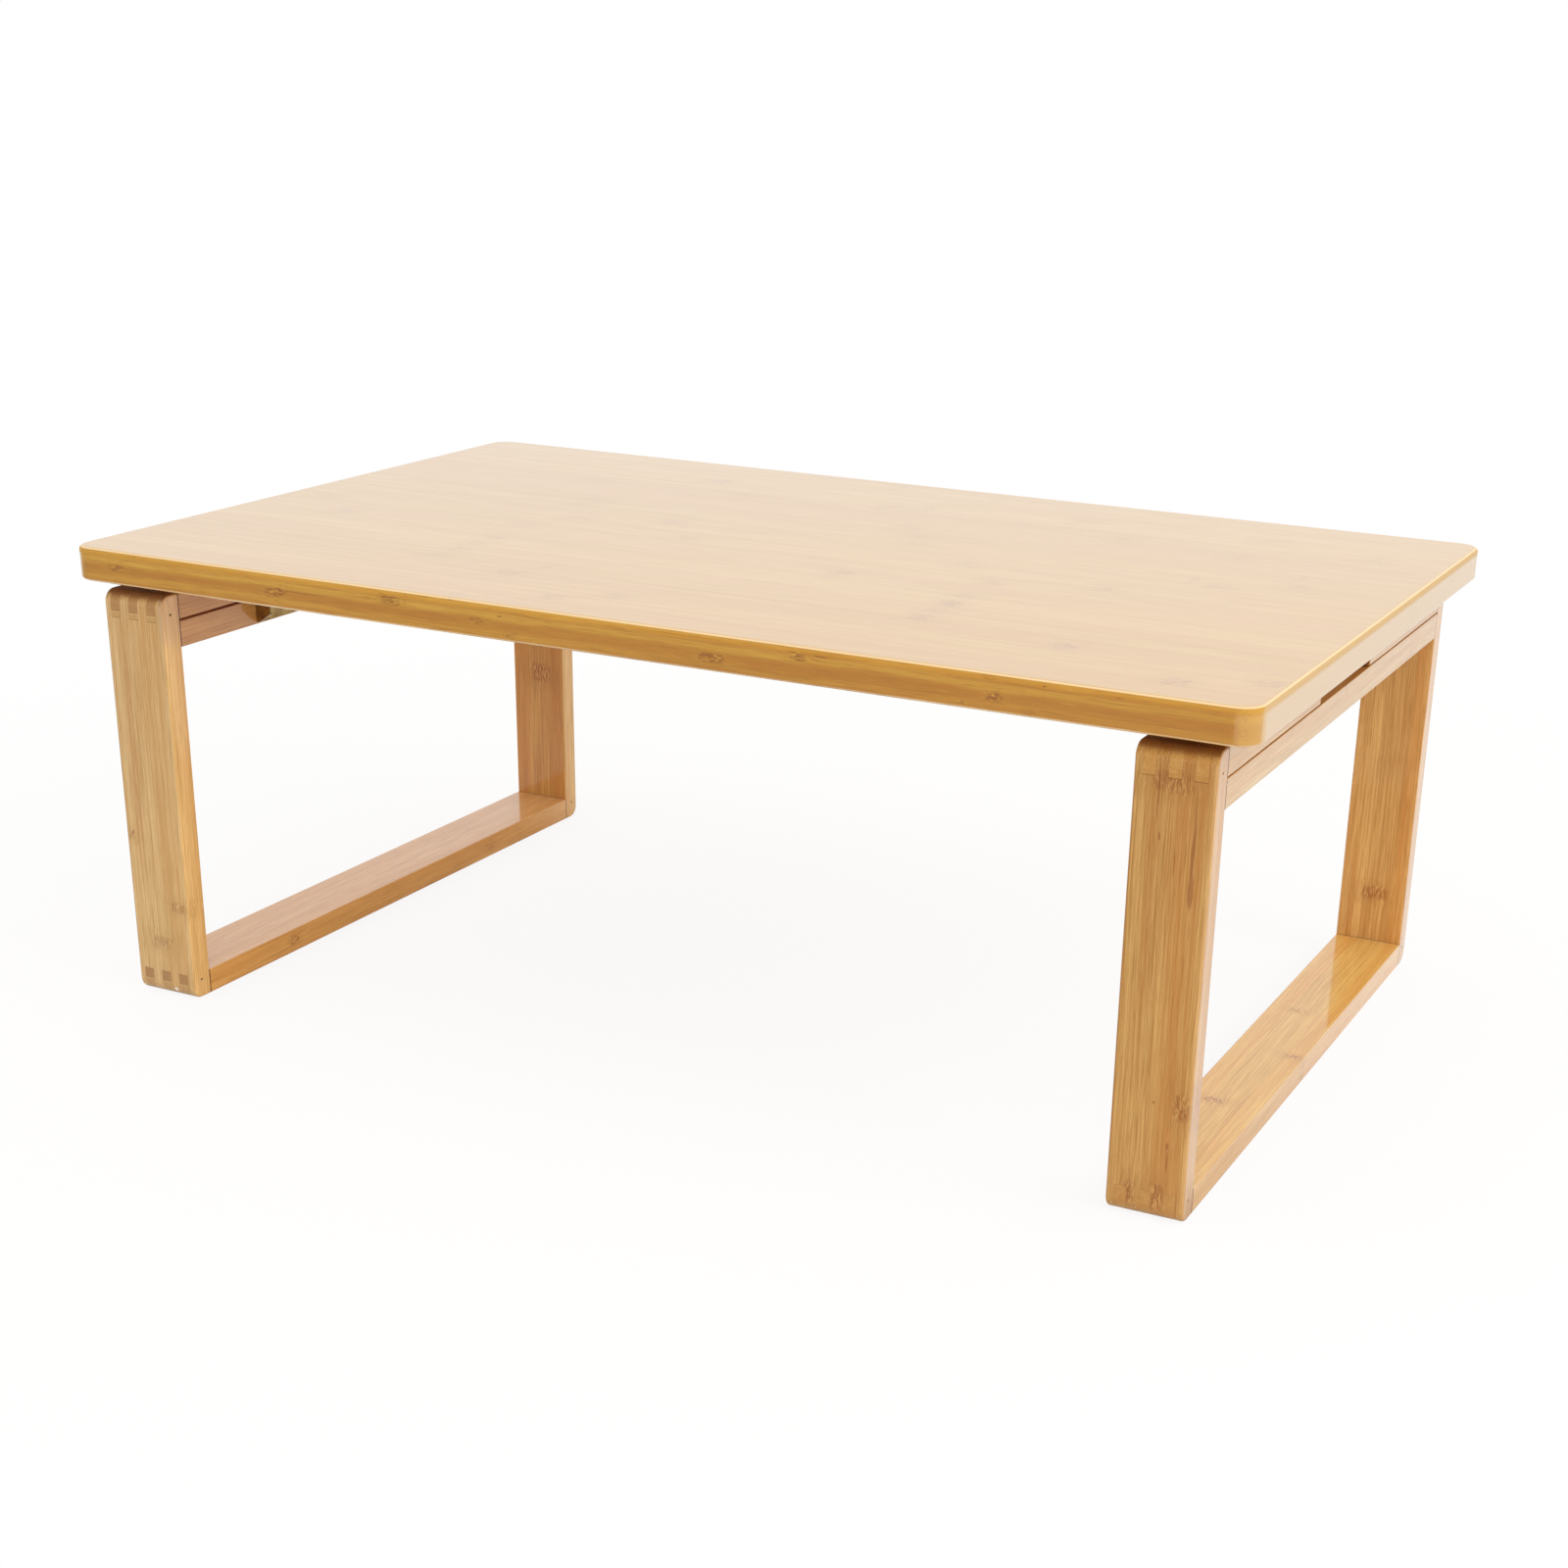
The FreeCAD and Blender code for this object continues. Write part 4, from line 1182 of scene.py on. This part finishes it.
@dataclass
class Hoop:
    """The five boards of one folding hoop, with their nails and dowels."""

    side: Side
    seed: float
    middle: float
    end_strength: float
    groove: Colour
    groove_inside: Colour
    groove_spread: float
    nail: Material
    dowel: Material
    strip_shift: float = -12.0
    upright_seed_step: float = 7.3
    rail_seed: float = 20.1
    rail_seed_step: float = 5.7
    bottom_split: float = 9.6
    top_split: float = 265.0

    def dress(self) -> None:
        """Lays each board's own finish on it, and the others on the nails and dowels."""
        for index, board in enumerate(("front_upright", "rear_upright")):
            seed = self.seed + index * self.upright_seed_step
            self.dress_board(board, Grain.UPRIGHT, seed, 0.0)
        for index, board in enumerate(("bottom_rail", "top_rail", "sub_rail")):
            seed = self.seed + self.rail_seed + index * self.rail_seed_step
            split = self.bottom_split if board == "bottom_rail" else self.top_split
            self.dress_board(board, Grain.ALONG_RAIL, seed, 0.5, split)
        put_on(f"{self.side.value}_joint_nails", self.nail)
        put_on(f"{self.side.value}_rail_dowels", self.dowel)

    def dress_board(self, board: str, grain: Grain, seed: float, strength: float,
                    split: float = 0.0) -> None:
        """Lays its own finish on one board.

        Args:
            board: The board's name, without the side.
            grain: How it lies.
            seed: What sets it apart from the other boards.
            strength: How much knuckles show on a board without any of its own.
            split: The height at which a rail's end grain changes from ply to ply.
        """
        node = f"{self.side.value}_{board}"
        finish = Bamboo(
            f"bamboo_{node}", grain, seed, BOARDS[node],
            strip_start=self.middle + self.strip_shift,
            knuckle_strength=0.0 if BOARDS[node].knuckles else strength,
            end_split=split, end_strength=self.end_strength, groove=self.groove,
            groove_inside=self.groove_inside, groove_spread=self.groove_spread)
        put_on(node, finish.dress())


@dataclass
class Brackets:
    """The two hinge brackets of one hoop, with all that fastens them."""

    side: Side
    plate: Material
    spring: Material
    pin: Material
    screw: Material

    def dress(self) -> None:
        """Lays the metal finishes on every bracket piece."""
        for end in ("front", "rear"):
            stem = f"{self.side.value}_{end}"
            for piece in ("bracket_base", "bracket_leaf", "cam_block"):
                put_on(f"{stem}_{piece}", self.plate)
            put_on(f"{stem}_pivot_pin", self.pin)
            put_on(f"{stem}_detent_spring", self.spring)
        put_on(f"{self.side.value}_base_screws", self.screw)
        put_on(f"{self.side.value}_leaf_screws", self.screw)
        put_on(f"{self.side.value}_spring_rivets", self.pin)


@dataclass(frozen=True)
class Lamp:
    """One square softbox that looks at the table. Its place and size are metres."""

    name: str
    place: Place
    power: float
    size: float = 1.4
    aim: Place = (0.0, 0.0, 0.2)

    def build(self) -> None:
        """Hangs the lamp, out of sight of reflections."""
        data = bpy.data.lights.new(self.name, "AREA")
        data.size = self.size
        data.energy = self.power
        lamp = set_up(self.name, data)
        lamp.location = self.place
        aim = Vector(self.aim) - Vector(self.place)
        lamp.rotation_euler = aim.to_track_quat("-Z", "Y").to_euler()
        lamp.visible_glossy = False


LAMPS = (
    Lamp("overhead", (-0.7, -0.7, 2.2), 3.0),
    Lamp("front", (0.6, -2.4, 0.8), 9.0),
    Lamp("right", (2.4, -0.3, 1.9), 26.0),
)


@dataclass
class Studio:
    """The pale floor, the white surroundings and the soft lamps.

    The floor's size is metres, and the bands on it are millimetres.
    """

    floor_size: float = 40.0
    floor_drop: float = 0.2
    floor_colour: Colour = (0.95, 0.93, 0.9)
    floor_glow: float = 0.88
    far: Band = (400.0, 1500.0)
    under_length: Band = (300.0, 400.0)
    under_depth: Band = (180.0, 280.0)
    behind: Band = (-500.0, 200.0)
    beside: Band = (375.0, 400.0)
    touching: Band = (0.5, 0.7)
    front_level: float = 0.2
    under_shade: float = 0.7
    ambient: float = 0.87
    ambient_colour: Colour = (1.0, 0.99, 0.97)
    lamps: tuple[Lamp, ...] = LAMPS

    def build(self) -> None:
        """Makes the floor, the world and the lamps."""
        self.make_floor()
        self.make_world()
        for lamp in self.lamps:
            lamp.build()

    def make_floor(self) -> None:
        """Makes the floor, a hair below the feet."""
        mesh = bpy.data.meshes.new("floor")
        shape = bmesh.new()
        bmesh.ops.create_grid(shape, x_segments=1, y_segments=1, size=self.floor_size / 2)
        bmesh.ops.translate(shape, verts=shape.verts, vec=(0.0, 0.0, -self.floor_drop * MM))
        shape.to_mesh(mesh)
        shape.free()
        mesh.materials.append(self.floor_finish())
        floor = set_up("floor", mesh)

    def floor_finish(self) -> Material:
        """Builds a white that keeps the table's shadow and can be looked through from below.

        What stands on the floor gets light from below too, so that it isn't black
        underneath. Reflections show it dimmer under the table and in front of it.

        Returns:
            The floor's material.
        """
        material = bpy.data.materials.new("floor_white")
        graph = Graph(material)
        x, y, _ = graph.place()
        under = x.hill(*self.under_length) * y.hill(*self.under_depth)
        back = y.rise(*self.behind).at_least(x.rise(*self.beside))
        level = self.front_level + back * (1 - self.front_level)
        level = graph.ray(Ray.CAMERA).at_least(level * (1 - under * self.under_shade))
        glow = graph.add("ShaderNodeEmission",
                         {"Color": graph.vector(level, level, level), "Strength": 1.0})
        matte = graph.add("ShaderNodeBsdfDiffuse", {"Color": self.floor_colour})
        away = graph.math("SQRT", x * x + y * y).rise(*self.far)
        share = graph.shown() * (self.floor_glow + away * (1 - self.floor_glow))
        shader = graph.blend(matte.outputs[0], glow.outputs[0], share)

        near, beyond = self.touching
        standing = graph.ray(Ray.LENGTH).fall(near * MM, beyond * MM)
        behind = Signal(graph, graph.add("ShaderNodeNewGeometry").outputs["Backfacing"])
        clear = graph.add("ShaderNodeBsdfTransparent")
        graph.finish(graph.blend(shader, clear.outputs[0], standing.at_least(behind)))
        return material

    def make_world(self) -> None:
        """Makes the surroundings white where they are seen, and dimmer as light."""
        world = bpy.data.worlds.new("studio")
        graph = Graph(world)
        soft = graph.add("ShaderNodeBackground",
                         {"Color": self.ambient_colour, "Strength": self.ambient})
        white = graph.add("ShaderNodeBackground", {"Color": WHITE, "Strength": 1.0})
        shader = graph.blend(soft.outputs[0], white.outputs[0], graph.shown())
        graph.finish(shader, End.WORLD)
        bpy.context.scene.world = world


@dataclass
class Viewpoint:
    """The camera, at the photograph's angle. Its place is metres and its turn radians."""

    place: Place = (0.756197, -1.465921, 0.637402)
    turn: Place = (1.1722, -0.0194, 0.4615)
    sensor_width: float = 36.0
    lens: float = 56.8614
    shift_x: float = -0.036726
    shift_y: float = 0.168682

    def build(self) -> None:
        """Makes the camera and gives it to the scene."""
        data = bpy.data.cameras.new("viewpoint")
        data.sensor_width = self.sensor_width
        data.lens = self.lens
        data.shift_x = self.shift_x
        data.shift_y = self.shift_y
        camera = set_up("viewpoint", data)
        camera.location = self.place
        camera.rotation_euler = Euler(self.turn)
        bpy.context.scene.camera = camera


def main() -> None:
    """Dresses the table, builds the studio and places the camera."""
    logging.basicConfig(level=logging.INFO, format="%(message)s")
    nail = NAIL_STEEL.dress()
    plate = PLATED_STEEL.dress()
    spring = SPRING_STEEL.dress()
    pin = PIN_STEEL.dress()
    screw = SCREW_STEEL.dress()
    dowel = DOWEL_WOOD.dress()
    Tabletop(TOP_FINISH).dress()
    hoops = (
        Hoop(Side.LEFT, seed=1.9, middle=-HOOP_CENTRE, end_strength=0.85, groove=GROOVE_DIM,
             groove_inside=GROOVE_INSIDE_LIGHT, groove_spread=0.6, nail=nail, dowel=dowel),
        Hoop(Side.RIGHT, seed=11.4, middle=HOOP_CENTRE, end_strength=0.3, groove=GROOVE_LIT,
             groove_inside=GROOVE_LIT, groove_spread=0.02, nail=nail, dowel=dowel),
    )
    for hoop in hoops:
        hoop.dress()
        Brackets(hoop.side, plate, spring, pin, screw).dress()
    Studio().build()
    Viewpoint().build()
    bpy.context.scene.view_settings.view_transform = "Standard"


if __name__ == "__main__":
    main()
